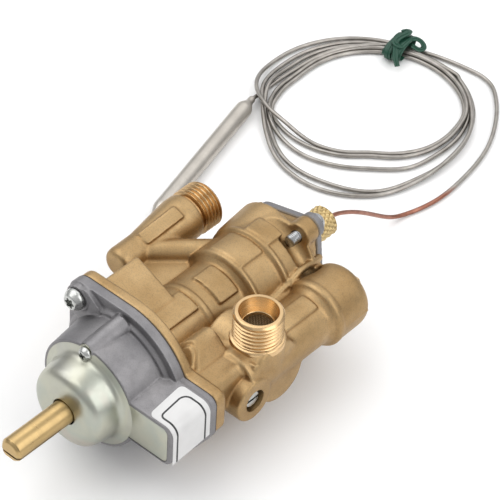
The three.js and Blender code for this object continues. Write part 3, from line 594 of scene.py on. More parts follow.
def capillary():
    last = [(x, y, REST_Z + lift) for x, y, lift in LAST_ROUTE]
    line = place(smooth_line(LEAD_ROUTE + coil_points() + last, 4))
    curve = bpy.data.curves.new("capillary_tube", "CURVE")
    curve.dimensions = "3D"
    spline = curve.splines.new("POLY")
    spline.points.add(len(line) - 1)
    for point, place_of in zip(spline.points, line):
        point.co = (*place_of, 1)
    curve.bevel_depth = CAPILLARY_DIAMETER / 2 * MM
    curve.bevel_resolution = 3
    curve.use_fill_caps = True
    curve.materials.append(capillary_metal("capillary_metal", START[1] + 0.165))
    o = bpy.data.objects.new("capillary", curve)
    bpy.context.scene.collection.objects.link(o)
    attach(o, "valve")
    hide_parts("capillary_tube", "capillary_coil")
    return o


capillary_piece = capillary()


def frame_at(start, end):
    """A turn that takes +Y to the way from start to end, both in the plane of the surface."""
    way = np.array(end, float) - np.array(start, float)
    way /= np.linalg.norm(way)
    return np.array([[way[1], way[0], 0], [-way[0], way[1], 0], [0, 0, 1]])


BULB_RADIUS = 3.0
BULB = {"tip": (-55.6, 100.2), "main": (-57.2, 106.4), "end": (-71.9, 164.0), "neck": (-73.4, 169.3)}


def sensing_bulb():
    tip = np.array(BULB["tip"])
    at = {name: np.linalg.norm(np.array(p) - tip) for name, p in BULB.items()}
    profile = [
        (0.001, 0.4), (0.9, 0.0), (1.3, 0.2), (1.5, 1.6), (2.1, at["main"] * 0.6), (BULB_RADIUS, at["main"]),
        (BULB_RADIUS, at["end"]), (2.5, at["end"] + 1.5), (1.35, at["end"] + 3.6), (1.25, at["neck"] + 0.8),
        (0.8, at["neck"] + 1.2), (0.001, at["neck"] + 1.2),
    ]
    mesh = revolve(profile, "y", (0, 0), 48, soft=0.9)
    turn = frame_at(BULB["tip"], BULB["neck"])
    for v in mesh.vertices:
        v.co = Vector(turn @ np.array(v.co) + np.array([*tip, BULB_RADIUS - AXIS_HEIGHT + 0.02]))
    return piece("bulb", mesh, "valve", "bulb_steel", BULB_STEEL, "sensing_bulb")


bulb = sensing_bulb()


def tube(line, radius, sides=10):
    """A closed tube along a line."""
    line = np.asarray(line, float)
    along = np.gradient(line, axis=0)
    along /= np.linalg.norm(along, axis=1)[:, None]
    side = np.cross(along[0], (0.1, 0.2, 1.0))
    angles = np.linspace(0, 2 * math.pi, sides, endpoint=False)
    rows = []
    for p, d in zip(line, along):
        side = side - d * (side @ d)
        side /= np.linalg.norm(side)
        other = np.cross(d, side)
        rows.append([p + radius * (math.cos(a) * side + math.sin(a) * other) for a in angles])
    return skin(rows)


def ribbon(line, faces, width, thick):
    """A flat, ribbed strip along a line; faces are the ways its flat side looks."""
    line = np.asarray(line, float)
    along = np.gradient(line, axis=0)
    along /= np.linalg.norm(along, axis=1)[:, None]
    section = [(0.5, -0.3), (0.5, 0.3), (0.3, 0.5), (0.16, 0.46), (0.1, 1.0), (-0.1, 1.0), (-0.16, 0.46),
               (-0.3, 0.5), (-0.5, 0.3), (-0.5, -0.3), (-0.3, -0.5), (0.3, -0.5)]
    rows = []
    for p, d, face in zip(line, along, np.asarray(faces, float)):
        out = face - d * (face @ d)
        out /= np.linalg.norm(out)
        across = np.cross(d, out)
        rows.append([p + across * a * width + out * b * thick for a, b in section])
    return skin(rows)


TIE_PLACE = np.array([-53.9, 229.6, REST_Z + 0.8])
TIE_TURN = math.radians(18)


def coil_tie():
    """A green covered wire strip, wound six times round the bundle, knotted on top, its ends bent aside."""
    random = np.random.default_rng(4)
    lengthways = np.array([math.cos(TIE_TURN), math.sin(TIE_TURN), 0])
    across = np.array([-math.sin(TIE_TURN), math.cos(TIE_TURN), 0])
    up = np.array([0, 0, 1.0])
    line, faces = [], []
    wraps = 6
    for k in range(wraps * 24 + 1):
        t = k / 24
        a = t * 2 * math.pi
        layer = 1.0 + 0.14 * math.sin(t * 2.3) + 0.04 * random.standard_normal() * (k % 6 == 0)
        go = -4.6 + 5.4 * abs(((t * 0.37) % 2) - 1) + 1.1 * math.cos(a)
        out = across * math.cos(a) + up * math.sin(a)
        lift = max(3.0 * layer * math.sin(a) + 1.5, -0.85)
        line.append(TIE_PLACE + lengthways * go + across * (6.0 * layer * math.cos(a) - 0.8) + up * lift)
        faces.append(out if lift > -0.8 else -up)
    wound = ribbon(line, faces, 2.3, 0.5)
    knot = []
    for k in range(19):
        a = math.pi * (k / 18 * 1.4 - 0.2)
        knot.append(TIE_PLACE + across * (4.6 * math.cos(a)) + up * (5.0 + 1.0 * math.sin(a))
                    + lengthways * (1.2 * math.sin(2 * a) - 1.6))
    strips = [wound, ribbon(knot, [up + across * 0.2] * len(knot), 2.5, 0.6)]
    right = [(0.5, 1.0, 4.4), (2.8, 2.8, 4.2), (5.0, 3.0, 3.2), (6.2, 1.8, 2.2), (5.0, 0.6, 1.6), (2.2, 0.2, 2.8)]
    tail = [(-2.6, -2.8, 5.2), (-1.6, -6.0, 4.4), (-0.4, -8.8, 2.6), (1.2, -10.6, 0.8)]
    for path in (right, tail):
        points = [TIE_PLACE + lengthways * u + across * v + up * w for u, v, w in path]
        route = smooth_line(points, 6)
        strips.append(ribbon(route, [up + lengthways * 0.3] * len(route), 2.0, 0.5))
    return piece("tie", joined(strips), "valve", "tie", TIE, "coil_tie", crease=60)


tie = coil_tie()


# ---- Brass body ----
REAR = {"front": 98.6, "back": 103.8, "half": 13.2, "corner": 6.0, "turn": 15, "right": 12.5, "ear": 3.9}
REAR_BOLT = 15.3
REAR_ANGLES = (60, 240)
SAFETY_X = 26.0
INLET = (26.0, 59.5)
OUTLET = (-29.3, 5.2)
BYPASS = (48.7, -4.1)
CROSS = (59.1, 0.6)
PILOT_BORE = (41.8, 13.4)
EAR = (-17.0, 20.0)
FLANGE_RADIUS = 25.1
BRASS_FRONT = 30.65
BOX = {"right": 36.0, "top": 10.4, "bottom": -6.4, "corner": 3.4}


def ear_spot(side):
    return EAR[0], side * EAR[1]


def rear_spot(angle):
    a = math.radians(angle)
    return REAR_BOLT * math.cos(a), REAR_BOLT * math.sin(a)


def rear_outline(grow=0.0):
    half, corner = REAR["half"] + grow, REAR["corner"] + grow
    t = math.radians(REAR["turn"])
    square = rounded_rectangle(-half, half, -half, half, corner)
    turned = [(x * math.cos(t) - z * math.sin(t), x * math.sin(t) + z * math.cos(t)) for x, z in square]
    return [(min(x, REAR["right"] + grow), z) for x, z in turned]


def rear_slab(grow, low, high, ear_grow=0.0, edge=0.0):
    """The rear flange's outline with its two ears, given thickness."""
    ear = REAR["ear"] + grow + ear_grow
    slab = [prism(rear_outline(grow), "y", low, high, edge, 3)]
    slab += [rod("y", rear_spot(a), low, high, ear, edge=edge) for a in REAR_ANGLES]
    return slab


def flange_outline(grow=0.0):
    """A round flange with two ears on the left and a box on the right."""
    r, ear = FLANGE_RADIUS + grow, 5 + grow
    top, bottom, right = BOX["top"] + grow, BOX["bottom"] - grow, BOX["right"] + grow
    corner = BOX["corner"]
    meet_top, meet_bottom = math.degrees(math.asin(top / r)), math.degrees(math.asin(bottom / r))
    return [
        *arc(EAR[0], -EAR[1], ear, 180, 270, 10),
        *arc(0, 0, r, -90, meet_bottom, 28),
        *arc(right - corner, bottom + corner, corner, -90, 0, 8),
        *arc(right - corner, top - corner, corner, 0, 90, 8),
        *arc(0, 0, r, meet_top, 90, 24),
        *arc(EAR[0], EAR[1], ear, 90, 180, 10),
    ]


def sector(centre, inner, outer, start, end, low, high, edge=0.25):
    """A raised pad on a barrel that lies along Y."""
    x, z = centre
    return prism(arc(x, z, outer, start, end, 14) + arc(x, z, inner, end, start, 6), "y", low, high, edge)


def slanted(outline, front, back):
    """A block along Y whose front face leans back and up, as on the third screw's boss."""
    points = soften([(x, z) for x, z in outline], 1.2, closed=True)
    lean = [(x, 39 + front + 1.1 * (z - 11), z) for x, z in points]
    return skin([lean, [(x, back, z) for x, z in points]])


def body_shells():
    """What the casting is made of before its edges are rounded off."""
    main = revolve([(12.7, 32), (12.7, 56), (12.9, 57), (12.9, 70.8), (15.4, 72.8), (15.6, 73.5), (15.6, 84.5),
                    (16.6, 85.4), (16.6, 99.5)], "y", (0, 0), 96)
    shells = [main, prism(flange_outline(-0.3), "y", BRASS_FRONT, 34.4), *rear_slab(0, 98.4, 104.1, 0.5)]
    shells.append(rod("y", rear_spot(REAR_ANGLES[1]), 92.5, 102, 3.3, 3.5))
    hood = [*arc(0, 0, 17.0, 134, 174, 16), *arc(0, 0, 10, 174, 134, 8)]
    shells.append(prism(hood, "y", 95.5, 104.1))
    shells.append(rod("y", (-4.1, 2.9), 86.4, 100.6, 12.4, 13.7, sides=96))
    safety = revolve([(9.2, 48), (9.2, 83.8), (10.2, 85.0), (11.1, 86.4), (11.2, 88.0), (11.1, 97.8), (10.7, 99.8),
                      (9.6, 101.2)], "y", (SAFETY_X, 0), 96)
    shells += [
        safety,
        prism([(8, -6), (22, -6), (22, 5), (8, 5)], "y", 76, 101.5),
        prism([(8, -6), (20, -6), (20, 5), (8, 5)], "y", 40, 66),
        rod("x", CROSS, 12, 34.2, 10.5, edge=1.3, sides=96),
        rod("x", (62.3, -3.9), 12, 34.4, 9.9, edge=1.3, sides=96),
        rod("x", BYPASS, 18, 35.4, 7.2, edge=1.3, sides=80),
        prism([(17, 50.6), (31.6, 50.6), (34.6, 53.4), (34.6, 65), (32, 67.5), (17, 67.5)], "z", -4, 6.5),
        rod("z", INLET, 0, 8.4, 9.2, 8.9),
        prism(rounded_rectangle(16.5, 31.0, -7.6, 8.2, 4), "y", 33.5, 52),
        prism(rounded_rectangle(14, 35.7, -6.1, 10.1, 3.4), "y", BRASS_FRONT, 35.0),
        prism([(-16.5, 4), (3.9, 4), (3.9, 11), (-2.1, 15), (-14.9, 20.8), (-16.5, 20.8)], "y", 33.5, 50.8),
        revolve([(3.4, 54.8), (4.9, 55.6), (5.3, 57.2), (5.4, 66), (7.9, 83.4), (7.9, 87.6)], "y", OUTLET, 72),
        prism([(-27.5, 60), (-13, 77), (-6, 77), (-6, 40), (-13, 40), (-16, 47)], "z", -1, 5.0),
        rod("z", (0, 88), -AXIS_HEIGHT, -12, 5.5, 6.6),
    ]
    duct = rod("x", (0, 0), -15, 15, 4.2)
    turn = Matrix.Translation((-18.9, 74.4, OUTLET[1] - 0.3)) @ Matrix.Rotation(math.radians(45), 4, "Z")
    duct.transform(turn)
    shells.append(duct)
    return shells


def body_details():
    """Raised pads, beads and the parting rib, which keep crisper edges."""
    pads = [
        sector((0, 0), 9, 13.7, 60, 98, 35.6, 54.2),
        sector((0, 0), 9, 13.8, 48, 102, 61.4, 69.6),
        sector((0, 0), 11, 16.35, 68, 118, 74.2, 84.0),
        sector((0, 0), 11, 17.35, 70, 104, 86.8, 93.6),
        sector((SAFETY_X, 0), 6, 10.05, 62, 102, 65.8, 82.4),
    ]
    outlet_pad = prism([(-2.4, -1.6), (2.4, -1.6), (2.4, 0), (-2.4, 0)], "x", -7.9, 7.9, 0.2)
    pad_middle = (OUTLET[0] + 2.1, 73.4, OUTLET[1] + 6.7)
    lean = Matrix.Rotation(math.radians(20), 4, "Y") @ Matrix.Rotation(math.radians(8), 4, "X")
    outlet_pad.transform(Matrix.Translation(pad_middle) @ lean @ Matrix.Rotation(math.radians(90), 4, "Z"))
    beads = [
        revolve([(12.4, 54.9), (13.3, 55.3), (13.3, 56.9), (12.5, 57.3), (12.4, 54.9)], "y", (0, 0), 96),
        revolve([(14.9, 72.2), (15.95, 72.9), (15.95, 73.9), (15.2, 74.4), (14.9, 72.2)], "y", (0, 0), 96),
        revolve([(16.0, 84.6), (17.0, 85.4), (17.0, 86.4), (16.2, 86.8), (16.0, 84.6)], "y", (0, 0), 96),
        revolve([(10.2, 85.2), (11.0, 85.6), (11.5, 86.4), (11.45, 87.8), (10.9, 88.8), (10.2, 85.2)], "y",
                (SAFETY_X, 0), 96),
        tube([(SAFETY_X + 11.0, y, 0.1) for y in np.linspace(88, 99.5, 12)], 0.3, 8),
    ]
    rib = tube(smooth_line([(14.9, 68, 2.4), (15.1, 75, 3.7), (15.1, 81, 4.6), (15.3, 85.5, 5.9), (15.5, 88, 7.1),
                            (15.2, 92.4, 7.8), (14.6, 98.2, 6.4), (13.4, 103.2, 4.8)], 5), 1.25, 12)
    ledges = [
        prism([(29.2, 50.2), (33.4, 50.2), (33.4, 52.4), (29.2, 52.4)], "z", 4, 7.9, 0.3),
        prism([(12.5, 52), (18.4, 51.2), (19.6, 54), (13, 57)], "z", 3, 8.2, 0.4),
    ]
    boss = slanted([(10.5, 4), (11, 8), (13.2, 12.0), (16.0, 13.4), (19.0, 12.2), (23.4, 8.0), (25, 5)], 0, 49.5)
    screw_pad = slanted(
        [(14.4, 11.4), (16.6, 12.6), (19.2, 11.4), (21.6, 8.2), (22.2, 6.2), (16.0, 6.2), (14.4, 8)], -1.3, 44)
    bypass = rod("x", BYPASS, 24, 35.5, 7.5, edge=0.8, sides=96)
    return [*pads, outlet_pad, *beads, rib, *ledges, boss, screw_pad, bypass]


def body_cuts():
    """Machined holes, cut after the skin is smooth."""
    cuts = [
        rod("y", (0, 0), 30, 33, 11.8),
        rod("y", (0, 0), 32.5, 56.4, 9.7, 8.2),
        rod("y", (0, 0), 56, 72.8, 7.2),
        rod("y", (0, 0), 72.6, 105, 11.3, sides=80),
        rod("y", (SAFETY_X, 0), 30, 47, 1.9, sides=24),
        rod("y", (SAFETY_X, 0), 30, 34.1, 3.4, sides=32),
        rod("y", (SAFETY_X, 0), 46, 53, 3.9, sides=32),
        rod("y", (SAFETY_X, 0), 52.8, 102, 7.6, sides=64),
        rod("x", (48.5, 0), 6, 26, 2.6, sides=24),
        rod("z", INLET, 0, 9, 5.05, sides=64),
        rod("y", OUTLET, 62, 88, 5.05, sides=64),
        rod("x", BYPASS, 29, 36, 3.9, sides=56),
        rod("x", PILOT_BORE, -18, -10.4, 4.2, sides=48),
        rod("x", PILOT_BORE, -17, -16, 4.9, 4.3, sides=48),
    ]
    for side in (1, -1):
        cuts.append(rod("y", ear_spot(side), 30, 36, 2.3, sides=24))
    for angle in REAR_ANGLES:
        cuts.append(rod("y", rear_spot(angle), 93.8, 105, 2.15, sides=28))
    return cuts


def screw_valley():
    """The hollow in front of the upper rear screw, which fades out at both ends."""
    middle, radius, along = 55, 3.5, 94.7
    line = []
    for degrees in range(8, 104, 4):
        a, distance = math.radians(degrees), 16.9 + 0.0018 * (degrees - middle) ** 2
        line.append((distance * math.cos(a), along, distance * math.sin(a)))
    return tube(line, radius, 32)


def brass_body():
    blank = carved(fused(body_shells(), 0.45, 7), [screw_valley()])
    skinned = fused([blank, *body_details()], 0.36, 3)
    return piece("brass_casting", carved(skinned, body_cuts()), "valve", "cast_brass", BRASS_CAST, "valve_body")


brass_body()

# ---- Threads ----
THREAD_RADIUS = 8.0
THREAD_PITCH = 1.5
TUBE_BORE = 5.0
CONE_MOUTH = 6.25


def thread(start, end, depth=0.92):
    """How far the flank lies under the crest, by angle and place along the axis; it runs out at both ends."""
    def ripple(angles, along):
        phase = (along / THREAD_PITCH - angles / (2 * math.pi)) % 1
        flank = np.clip(np.abs(phase - 0.5) * 2 * 1.25 - 0.12, 0, 1)
        fade = min(1.0, max(0.0, (along - start) / 0.6), max(0.0, (end - along) / 0.5))
        return -depth * fade * (1 - flank)
    return ripple


def inlet_port():
    profile = [
        (TUBE_BORE, 8.2), (8.8, 8.2), (8.8, 9.9), (8.5, 10.2), (7.5, 10.4),
        (THREAD_RADIUS, 10.6, 1), (THREAD_RADIUS, 19.2, 1), (7.35, 19.95), (7.2, 20.0), (CONE_MOUTH + 0.1, 20.0),
        (CONE_MOUTH, 19.85), (5.25, 14.9), (TUBE_BORE, 14.7), (TUBE_BORE, 8.2),
    ]
    mesh = revolve(profile, "z", INLET, 144, ripple=thread(10.6, 19.2), step=0.1)
    return piece("inlet_port", mesh, "valve", "turned_brass", BRASS_TURNED, crease=50)


def outlet_port():
    profile = [
        (TUBE_BORE, 87.3), (6.9, 87.3), (6.9, 88.4),
        (THREAD_RADIUS, 88.8, 1), (THREAD_RADIUS, 95.8, 1), (7.35, 96.5), (7.2, 96.6), (CONE_MOUTH + 0.1, 96.6),
        (CONE_MOUTH, 96.45), (5.25, 91.5), (TUBE_BORE, 91.3), (TUBE_BORE, 87.3),
    ]
    mesh = revolve(profile, "y", OUTLET, 144, ripple=thread(88.6, 95.9), step=0.1)
    return piece("outlet_port", mesh, "valve", "turned_brass", BRASS_OUTLET_PAINTED_REFLECTION, crease=50)


def inlet_filter():
    """A thimble of woven wire, closed end up, held by a rim."""
    x, y = INLET
    rim = revolve([(4.55, 9.0), (4.95, 9.0), (4.95, 13.8), (4.55, 13.9), (4.4, 13.7), (4.4, 9.0), (4.55, 9.0)],
                  "z", INLET, 64)
    wires = []
    pitch, reach = 0.62, 4.6
    for i in range(-7, 8):
        offset = i * pitch
        half = math.sqrt(max(reach ** 2 - offset ** 2, 0.2))
        steps = np.linspace(-half, half, 40)
        for lengthways in (0, 1):
            wave = 0.13 * np.cos(np.pi * steps / pitch + math.pi * (i + lengthways))
            height = 13.8 + 0.25 * (1 - (steps ** 2 + offset ** 2) / reach ** 2) + wave
            fixed = np.full_like(steps, offset)
            a, b = (steps, fixed) if lengthways else (fixed, steps)
            wires.append(tube(np.stack([x + a, y + b, height], 1), 0.14, 6))
    return piece("inlet_filter_mesh", joined([rim, *wires]), "valve", "turned_brass", WIRE, "inlet_filter")


inlet_port()
outlet_port()
inlet_filter()


def bypass_screw():
    y, z = BYPASS
    head = revolve([(0.001, 26), (0.6, 26), (1.2, 31), (3.1, 31), (3.1, 34.0), (2.7, 34.4), (0.001, 34.5)], "x",
                   BYPASS, 64)
    slot = prism([(y - 4, z - 0.42), (y + 4, z - 0.42), (y + 4, z + 0.42), (y - 4, z + 0.42)], "x", 33.0, 35)
    return piece("bypass_screw_head", carved(head, [slot]), "bypass_screw", "steel", STEEL, "bypass_screw")


bypass_screw()

# ---- Aluminium housing ----
COVER_FRONT = 13.0
COVER_BACK = 13.8
HOUSING_FRONT = 14.1
EAR_FRONT = 25.2
CAP_SCREW = (-1.0, 16.5)
BOX_FRONT = {"y": 12.9, "right": 34.1, "top": 8.0, "bottom": -7.6, "corner": 3.4}
FLANGE_FRONT = 27.0


def cap_screw_spot(side):
    return side * CAP_SCREW[0], side * CAP_SCREW[1]


def drafted_box(grow, low, high, left=4.0):
    """The housing's box, which is wider at the back."""
    rows = []
    for y in (low, high):
        t = (y - BOX_FRONT["y"]) / (FLANGE_FRONT - BOX_FRONT["y"])
        right = BOX_FRONT["right"] + t * (BOX["right"] - BOX_FRONT["right"]) + grow
        top = BOX_FRONT["top"] + t * (BOX["top"] - BOX_FRONT["top"]) + grow
        bottom = BOX_FRONT["bottom"] + t * (BOX["bottom"] - BOX_FRONT["bottom"]) - grow
        outline = rounded_rectangle(left, right, bottom, top, BOX_FRONT["corner"])
        rows.append([(x, y, z) for x, z in outline])
    return skin(rows)


def housing():
    """The die casting: a drafted tube, a box beside it, screw bosses and a flange with two ears."""
    shells = [
        revolve([(18.8, COVER_FRONT), (20.2, 26), (20.3, FLANGE_FRONT + 1)], "y", (0, 0), 120),
        revolve([(21.4, 25.9), (22.3, 26.9), (22.3, FLANGE_FRONT + 1)], "y", (0, 0), 120),
        prism(flange_outline(), "y", FLANGE_FRONT, 30.35),
        drafted_box(0, BOX_FRONT["y"], FLANGE_FRONT + 1),
    ]
    for side in (1, -1):
        ridge = [(side * -1.0, COVER_FRONT, side * 15.8), (side * 0.9, FLANGE_FRONT + 0.2, side * 20.3)]
        shells.append(tube(ridge, 3.55, 64))
        shells.append(rod("y", ear_spot(side), EAR_FRONT, 28, 4.4))
        web = [(-20.6, 17), (-18, 24), (-13.4, 24.9), (-8.3, 20.9), (-6, 15.4), (-14, 10), (-19.4, 13)]
        shells.append(prism([(x, side * z) for x, z in web], "y", EAR_FRONT + 0.2, 27.5))
    skinned = fused(shells, 0.28, 2)
    tools = []
    for side in (1, -1):
        tools.append(rod("y", cap_screw_spot(side), 10, HOUSING_FRONT, 3.1, sides=40))
        tools.append(rod("y", cap_screw_spot(side), 5, 20.4, 1.7, sides=24))
        tools.append(rod("y", ear_spot(side), 20, 40, 2.3, sides=24))
    tools += [
        rod("y", (0, 0), 10, HOUSING_FRONT, 17.95, sides=120),
        prism(rounded_rectangle(4, 32.4, -6.9, 7.0, 2.2), "y", 10, HOUSING_FRONT),
        rod("y", (0, 0), HOUSING_FRONT - 3, 32, 14.4, sides=96),
        prism([(0, -5.2), (31.6, -5.2), (31.6, 6.2), (0, 6.2)], "y", HOUSING_FRONT - 0.1, 32),
    ]
    return piece("housing_casting", carved(skinned, tools), "valve", "cast_aluminium", ALUMINIUM, "front_housing")


housing()


def dome_cover():
    """Pressed cover: a dome round the spindle, a flat rim and a tongue over the housing's box."""
    outside = [(4.5, 2.2), (5.0, 2.0), (10.4, 2.0), (13.3, 3.6), (14.2, 7.6), (14.7, 12.1), (17.9, COVER_FRONT)]
    inside = [(17.9, COVER_BACK), (14.1, COVER_BACK - 0.4), (13.4, 7.8), (12.4, 4.2), (10.0, 2.9), (4.5, 2.9)]
    profile = [*soften(outside, 2.2, 7), *soften(inside, 2.0, 7)]
    dome = revolve([*profile, profile[0]], "y", (0, 0), 128)
    rim = prism(rounded_rectangle(14.6, 32.2, -6.7, 6.8, 2, 8), "y", COVER_FRONT, COVER_BACK, 0.15)
    rim = carved(rim, [rod("y", (0, 0), 10, 15, 14.4, sides=96)])
    lobes = [rod("y", cap_screw_spot(side), COVER_FRONT, COVER_BACK, 3.0, sides=40) for side in (1, -1)]
    return piece("dome_cover", joined([dome, rim, *lobes]), "valve", "zinc_plate", ZINC, "cover_plate", crease=30)


dome_cover()


def star(radius, inner, points=6, turn=0.0):
    """A star recess outline, round-lobed."""
    return [
        ((inner + (radius - inner) * (0.5 + 0.5 * math.cos(points * a))) * math.cos(a + turn),
         (inner + (radius - inner) * (0.5 + 0.5 * math.cos(points * a))) * math.sin(a + turn))
        for a in np.linspace(0, 2 * math.pi, 72, endpoint=False)
    ]


def screw(name, spot, head_front, head_back, head_radius, shank_end, shank_radius, recess, nodes):
    """A pan-headed screw along +Y with a star recess; its shank carries a thread."""
    rise = head_back - head_front
    outer = soften([(0.001, head_front), (head_radius * 0.66, head_front), (head_radius, head_front + rise * 0.55),
                    (head_radius, head_back), (shank_radius, head_back)], 0.55, 4)
    pitch = 0.7

    def ripple(angles, along):
        phase = (along / pitch - angles / (2 * math.pi)) % 1
        return -0.24 * np.abs(phase * 2 - 1)

    head = revolve([*outer, (0.001, head_back)], "y", spot, 56)
    thread_line = [(shank_radius, head_back - 0.3, 1), (shank_radius, shank_end - 0.3, 1),
                   (shank_radius * 0.7, shank_end)]
    shank = revolve(thread_line, "y", spot, 32, ripple=ripple, step=0.12)
    outline = [(spot[0] + x, spot[1] + z) for x, z in star(*recess)]
    hole = prism(outline, "y", head_front - 1, head_front + rise * 0.55)
    return piece(name, joined([carved(head, [hole]), shank]), "valve", "steel", STEEL, *nodes)


for where, side in (("top", 1), ("bottom", -1)):
    screw(f"housing_bolt_{where}", ear_spot(side), EAR_FRONT - 3.3, EAR_FRONT, 3.7, 33.5, 2.0, (1.9, 1.25),
          [f"housing_screw_{where}"])
    screw(f"cover_bolt_{where}", cap_screw_spot(side), 10.9, COVER_FRONT, 2.35, 19.6, 1.35, (1.35, 0.55, 4, 0.5),
          [f"cap_screw_{where}"])


# ---- Gaskets ----
def gaskets():
    holes = [rod("y", (0, 0), 29, 32, 13), prism([(18, -4), (31.6, -4), (31.6, 4), (18, 4)], "y", 29, 32)]
    holes += [rod("y", ear_spot(side), 29, 32, 2.4, sides=24) for side in (1, -1)]
    sheet = prism(flange_outline(-0.15), "y", 30.32, 30.68)
    piece("front_sheet", carved(sheet, holes), "valve", "rubber", SHEET, "front_gasket")
    holes = [rod("y", rear_spot(a), 103, 106, 2.4, sides=24) for a in REAR_ANGLES]
    sheet = fused(rear_slab(0.1, 103.8, 104.7, 0.25), 0.25, 2)
    holes.append(rod("y", (0, 0), 103, 106, 11))
    piece("rear_sheet", carved(sheet, holes), "valve", "rubber", REAR_SHEET, "rear_gasket")


gaskets()


# ---- Label ----
LABEL = {"front": 13.4, "back": 27.4, "left": 24.3, "length": 22.9, "corner": 1.8}
LABEL_LINE = {"left": 3.1, "front": 1.6, "back": 1.9, "width": 0.58, "front_corner": 1.4, "back_corner": 2.7}


def wrapped(points, offset):
    """Takes (s, y) on the label, with s measured over the top, round the corner and down, to a point."""
    made = []
    for s, y in points:
        t = min((y - BOX_FRONT["y"]) / (FLANGE_FRONT - BOX_FRONT["y"]), 1)
        right = BOX_FRONT["right"] + t * (BOX["right"] - BOX_FRONT["right"])
        top = BOX_FRONT["top"] + t * (BOX["top"] - BOX_FRONT["top"])
        corner = BOX_FRONT["corner"]
        flat = right - corner - LABEL["left"]
        bend = corner * math.pi / 2
        if s < flat:
            made.append((LABEL["left"] + s, y, top + offset))
        elif s < flat + bend:
            a = math.pi / 2 - (s - flat) / corner
            out = corner + offset
            made.append((right - corner + out * math.cos(a), y, top - corner + out * math.sin(a)))
        else:
            made.append((right + offset, y, top - corner - (s - flat - bend)))
    return made


def label_film():
    low, high, corner = LABEL["front"], LABEL["back"], LABEL["corner"]
    rows = []
    for s in np.linspace(0, LABEL["length"], 150):
        edge = corner - s
        cut = corner - math.sqrt(corner ** 2 - edge ** 2) if edge > 0 else 0
        across = np.linspace(low + min(cut, corner - 0.05), high - min(cut, corner - 0.05), 15)
        rows.append(wrapped([(s, y) for y in across], 0.16) + wrapped([(s, y) for y in across[::-1]], 0.03))
    return skin(rows)


def label_line():
    """The printed frame: a line that runs along the front, round two corners and back along the rear."""
    front, back = LABEL["front"] + LABEL_LINE["front"], LABEL["back"] - LABEL_LINE["back"]
    left, end, half = LABEL_LINE["left"], LABEL["length"] - 0.1, LABEL_LINE["width"] / 2
    near, far = LABEL_LINE["front_corner"], LABEL_LINE["back_corner"]
    middle = [(s, front) for s in np.linspace(end, left + near, 90)]
    middle += arc(left + near, front + near, near, 270, 180, 14)[1:]
    middle += [(left, y) for y in np.linspace(front + near, back - far, 30)[1:]]
    middle += arc(left + far, back - far, far, 180, 90, 18)[1:]
    middle += [(s, back) for s in np.linspace(left + far, end, 90)[1:]]
    middle = np.array(middle)
    along = np.gradient(middle, axis=0)
    along /= np.linalg.norm(along, axis=1)[:, None]
    side = np.stack([-along[:, 1], along[:, 0]], 1) * half
    edges = [wrapped(middle + side, 0.15), wrapped(middle + side, 0.21), wrapped(middle - side, 0.21),
             wrapped(middle - side, 0.15)]
    return skin(np.array(edges).transpose(1, 0, 2))


def label():
    piece("label_film", label_film(), "valve", "sticker", STICKER, "label", crease=50)
    piece("label_border", label_line(), "valve", None, INK, crease=50)


label()


# ---- Spindle ----
def spindle():
    profile = [(0.001, -20.5), (3.1, -20.5), (4.0, -19.5), (4.0, 4.9), (5.6, 4.9), (5.6, 15.6), (4.0, 15.6),
               (4.0, 17.6), (3.2, 17.6), (3.2, 18.6), (4.0, 18.6), (4.0, 28.0), (0.001, 28.0)]
    shaft = revolve(soften(profile, 0.18, 2), "y", (0, 0), 96)
    flat_end = -3.0
    tools = [
        prism([(-6, -6), (6, -6), (6, -2.5), (-6, -2.5)], "y", -22, flat_end),
        prism([(-6, -1.5), (6, -1.5), (6, -0.8), (-6, -0.8)], "y", -22, flat_end),
    ]
    blade = prism([(-3.2, -1), (3.2, -1), (3.2, 1), (-3.2, 1)], "y", 27, 40.5, 0.2)
    return piece("spindle_shaft", joined([carved(shaft, tools), blade]), "spindle", "turned_brass", BRASS_SPINDLE,
                 "spindle", crease=35)


spindle()


# ---- Rear end ----
PLATE = (104.4, 106.6)
NUT = {"front": 113.1, "back": 122.3, "radius": 5.2}


def rear_cover():
    plate = fused(rear_slab(0, *PLATE, 0.3), 0.25, 3)
    outer = soften([(3.3, 105.6), (8.6, 106.5), (6.8, 108.2), (5.6, 112.8), (3.3, 112.8)], 0.7, 4)
    boss = revolve([*outer, outer[0]], "y", (0, 0), 72)
    cuts = [rod("y", rear_spot(a), 100, 110, 2.2, sides=28) for a in REAR_ANGLES]
    cuts.append(rod("y", (0, 0), 100, 110, 3.3, sides=48))
    made = joined([carved(plate, cuts), boss])
    return piece("rear_cover", made, "valve", "cast_aluminium", ALUMINIUM, "rear_plate")


def knurled_nut():
    def ripple(angles, along):
        lead = 0.42
        a = (angles * 17 / (2 * math.pi) + along * lead) % 1
        b = (angles * 17 / (2 * math.pi) - along * lead) % 1
        ridge = np.maximum(np.abs(a * 2 - 1), np.abs(b * 2 - 1))
        return -0.55 * (ridge ** 1.5) * (1 if NUT["front"] + 0.7 < along < NUT["back"] - 0.9 else 0.35)

    r = NUT["radius"] + 0.15
    profile = [
        (0.95, NUT["front"]), (4.6, NUT["front"]), (r, NUT["front"] + 0.6, 1), (r, NUT["back"] - 0.8, 1),
        (4.4, NUT["back"]), (2.2, NUT["back"] + 0.1), (0.95, NUT["back"] - 0.3), (0.95, NUT["front"]),
    ]
    grip = revolve(profile, "y", (0, 0), 204, ripple=ripple, step=0.14)
    neck = revolve([(0.95, 106.8), (2.9, 106.8), (2.9, 113.3), (0.95, 113.3), (0.95, 106.8)], "y", (0, 0), 48)
    return piece("nut_with_knurl", joined([grip, neck]), "valve", "turned_brass", BRASS_KNURL, "knurled_nut",
                 crease=60)


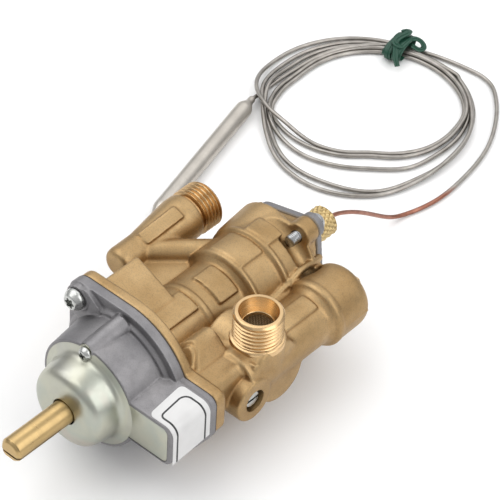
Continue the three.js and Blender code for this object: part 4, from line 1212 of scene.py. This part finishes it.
def rear_screw(index, angle):
    """A screw drawn from the front, then turned round so that its head is at the back. It is duller."""
    x, z = rear_spot(angle)
    turned = screw(f"rear_bolt_{index}", (x, -z), -109.2, -106.7, 3.1, -94.4, 2.0, (1.7, 0.7, 4, 0.4),
                     [f"rear_screw_{index}"])
    mesh = turned.data
    for v in mesh.vertices:
        v.co.y = 2 * START[1] - v.co.y
        v.co.z = 2 * START[2] - v.co.z
    mesh.materials[0] = SPRING
    mesh.update()
    return turned


rear_cover()
knurled_nut()
for number, bolt_angle in enumerate(REAR_ANGLES, 1):
    rear_screw(number, bolt_angle)


def thermocouple_bush():
    hexagon = prism(arc(SAFETY_X, 0, 7.2, 0, 360, 6)[:-1], "y", 99.4, 103.4, 0.35)
    bore = revolve([(3.45, 98.5), (3.45, 104.4)], "y", (SAFETY_X, 0), 72,
                   ripple=lambda angles, along: 0.3 * np.abs(((along / 1.0 - angles / (2 * math.pi)) % 1) * 2 - 1))
    mouth = rod("y", (SAFETY_X, 0), 102.9, 103.6, 3.4, 4.3, sides=72)
    return piece("thermocouple_nut", carved(hexagon, [bore, mouth]), "valve", "turned_brass", BRASS_TURNED,
                 "thermocouple_bush")


thermocouple_bush()


# ---- Springs ----
def spring(name, node, x, low, high, radius, wire, turns):
    """A coil spring between y low and high."""
    steps = int(turns * 24)
    t = np.linspace(0, 1, steps + 1)
    a = t * turns * 2 * math.pi
    closed = np.clip((t * turns - 0.75) / (turns - 1.5), 0, 1)
    y = low + wire + closed * (high - low - 2 * wire) + (t - closed) * wire
    line = np.stack([x + radius * np.cos(a), y, radius * np.sin(a)], 1)
    coil = piece(name, tube(line, wire), "valve", "spring_steel", SPRING, node)
    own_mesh(coil)


spring("spindle_spring", "return_spring", 0, 18.8, 30.8, 7.4, 0.6, 5.5)
spring("sleeve_spring", "regulating_spring", 0, 66.3, 75.0, 3.0, 0.45, 5.5)
spring("disc_spring", "thermostat_spring", 0, 80.9, 90.8, 4.4, 0.5, 6.0)
spring("valve_spring", "safety_spring", SAFETY_X, 55.5, 68.8, 3.4, 0.45, 6.5)

# ---- Finishes of the CAD nodes that stay ----
KEPT = {
    BRASS_TURNED: ("plug", "regulating_screw", "regulating_sleeve", "thermostat_seat", "thermostat_disc"),
    STEEL: ("stop_washer", "plug_retainer", "bellows_bracket", "bellows_capsule", "push_rod", "safety_disc",
            "circlip"),
    ZINC: ("push_bridge", "magnet_unit"),
    RUBBER: ("rod_seal", "bypass_seal"),
}
for finish, names in KEPT.items():
    for node_name in names:
        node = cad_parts[node_name]
        node.data.materials.clear()
        node.data.materials.append(finish)
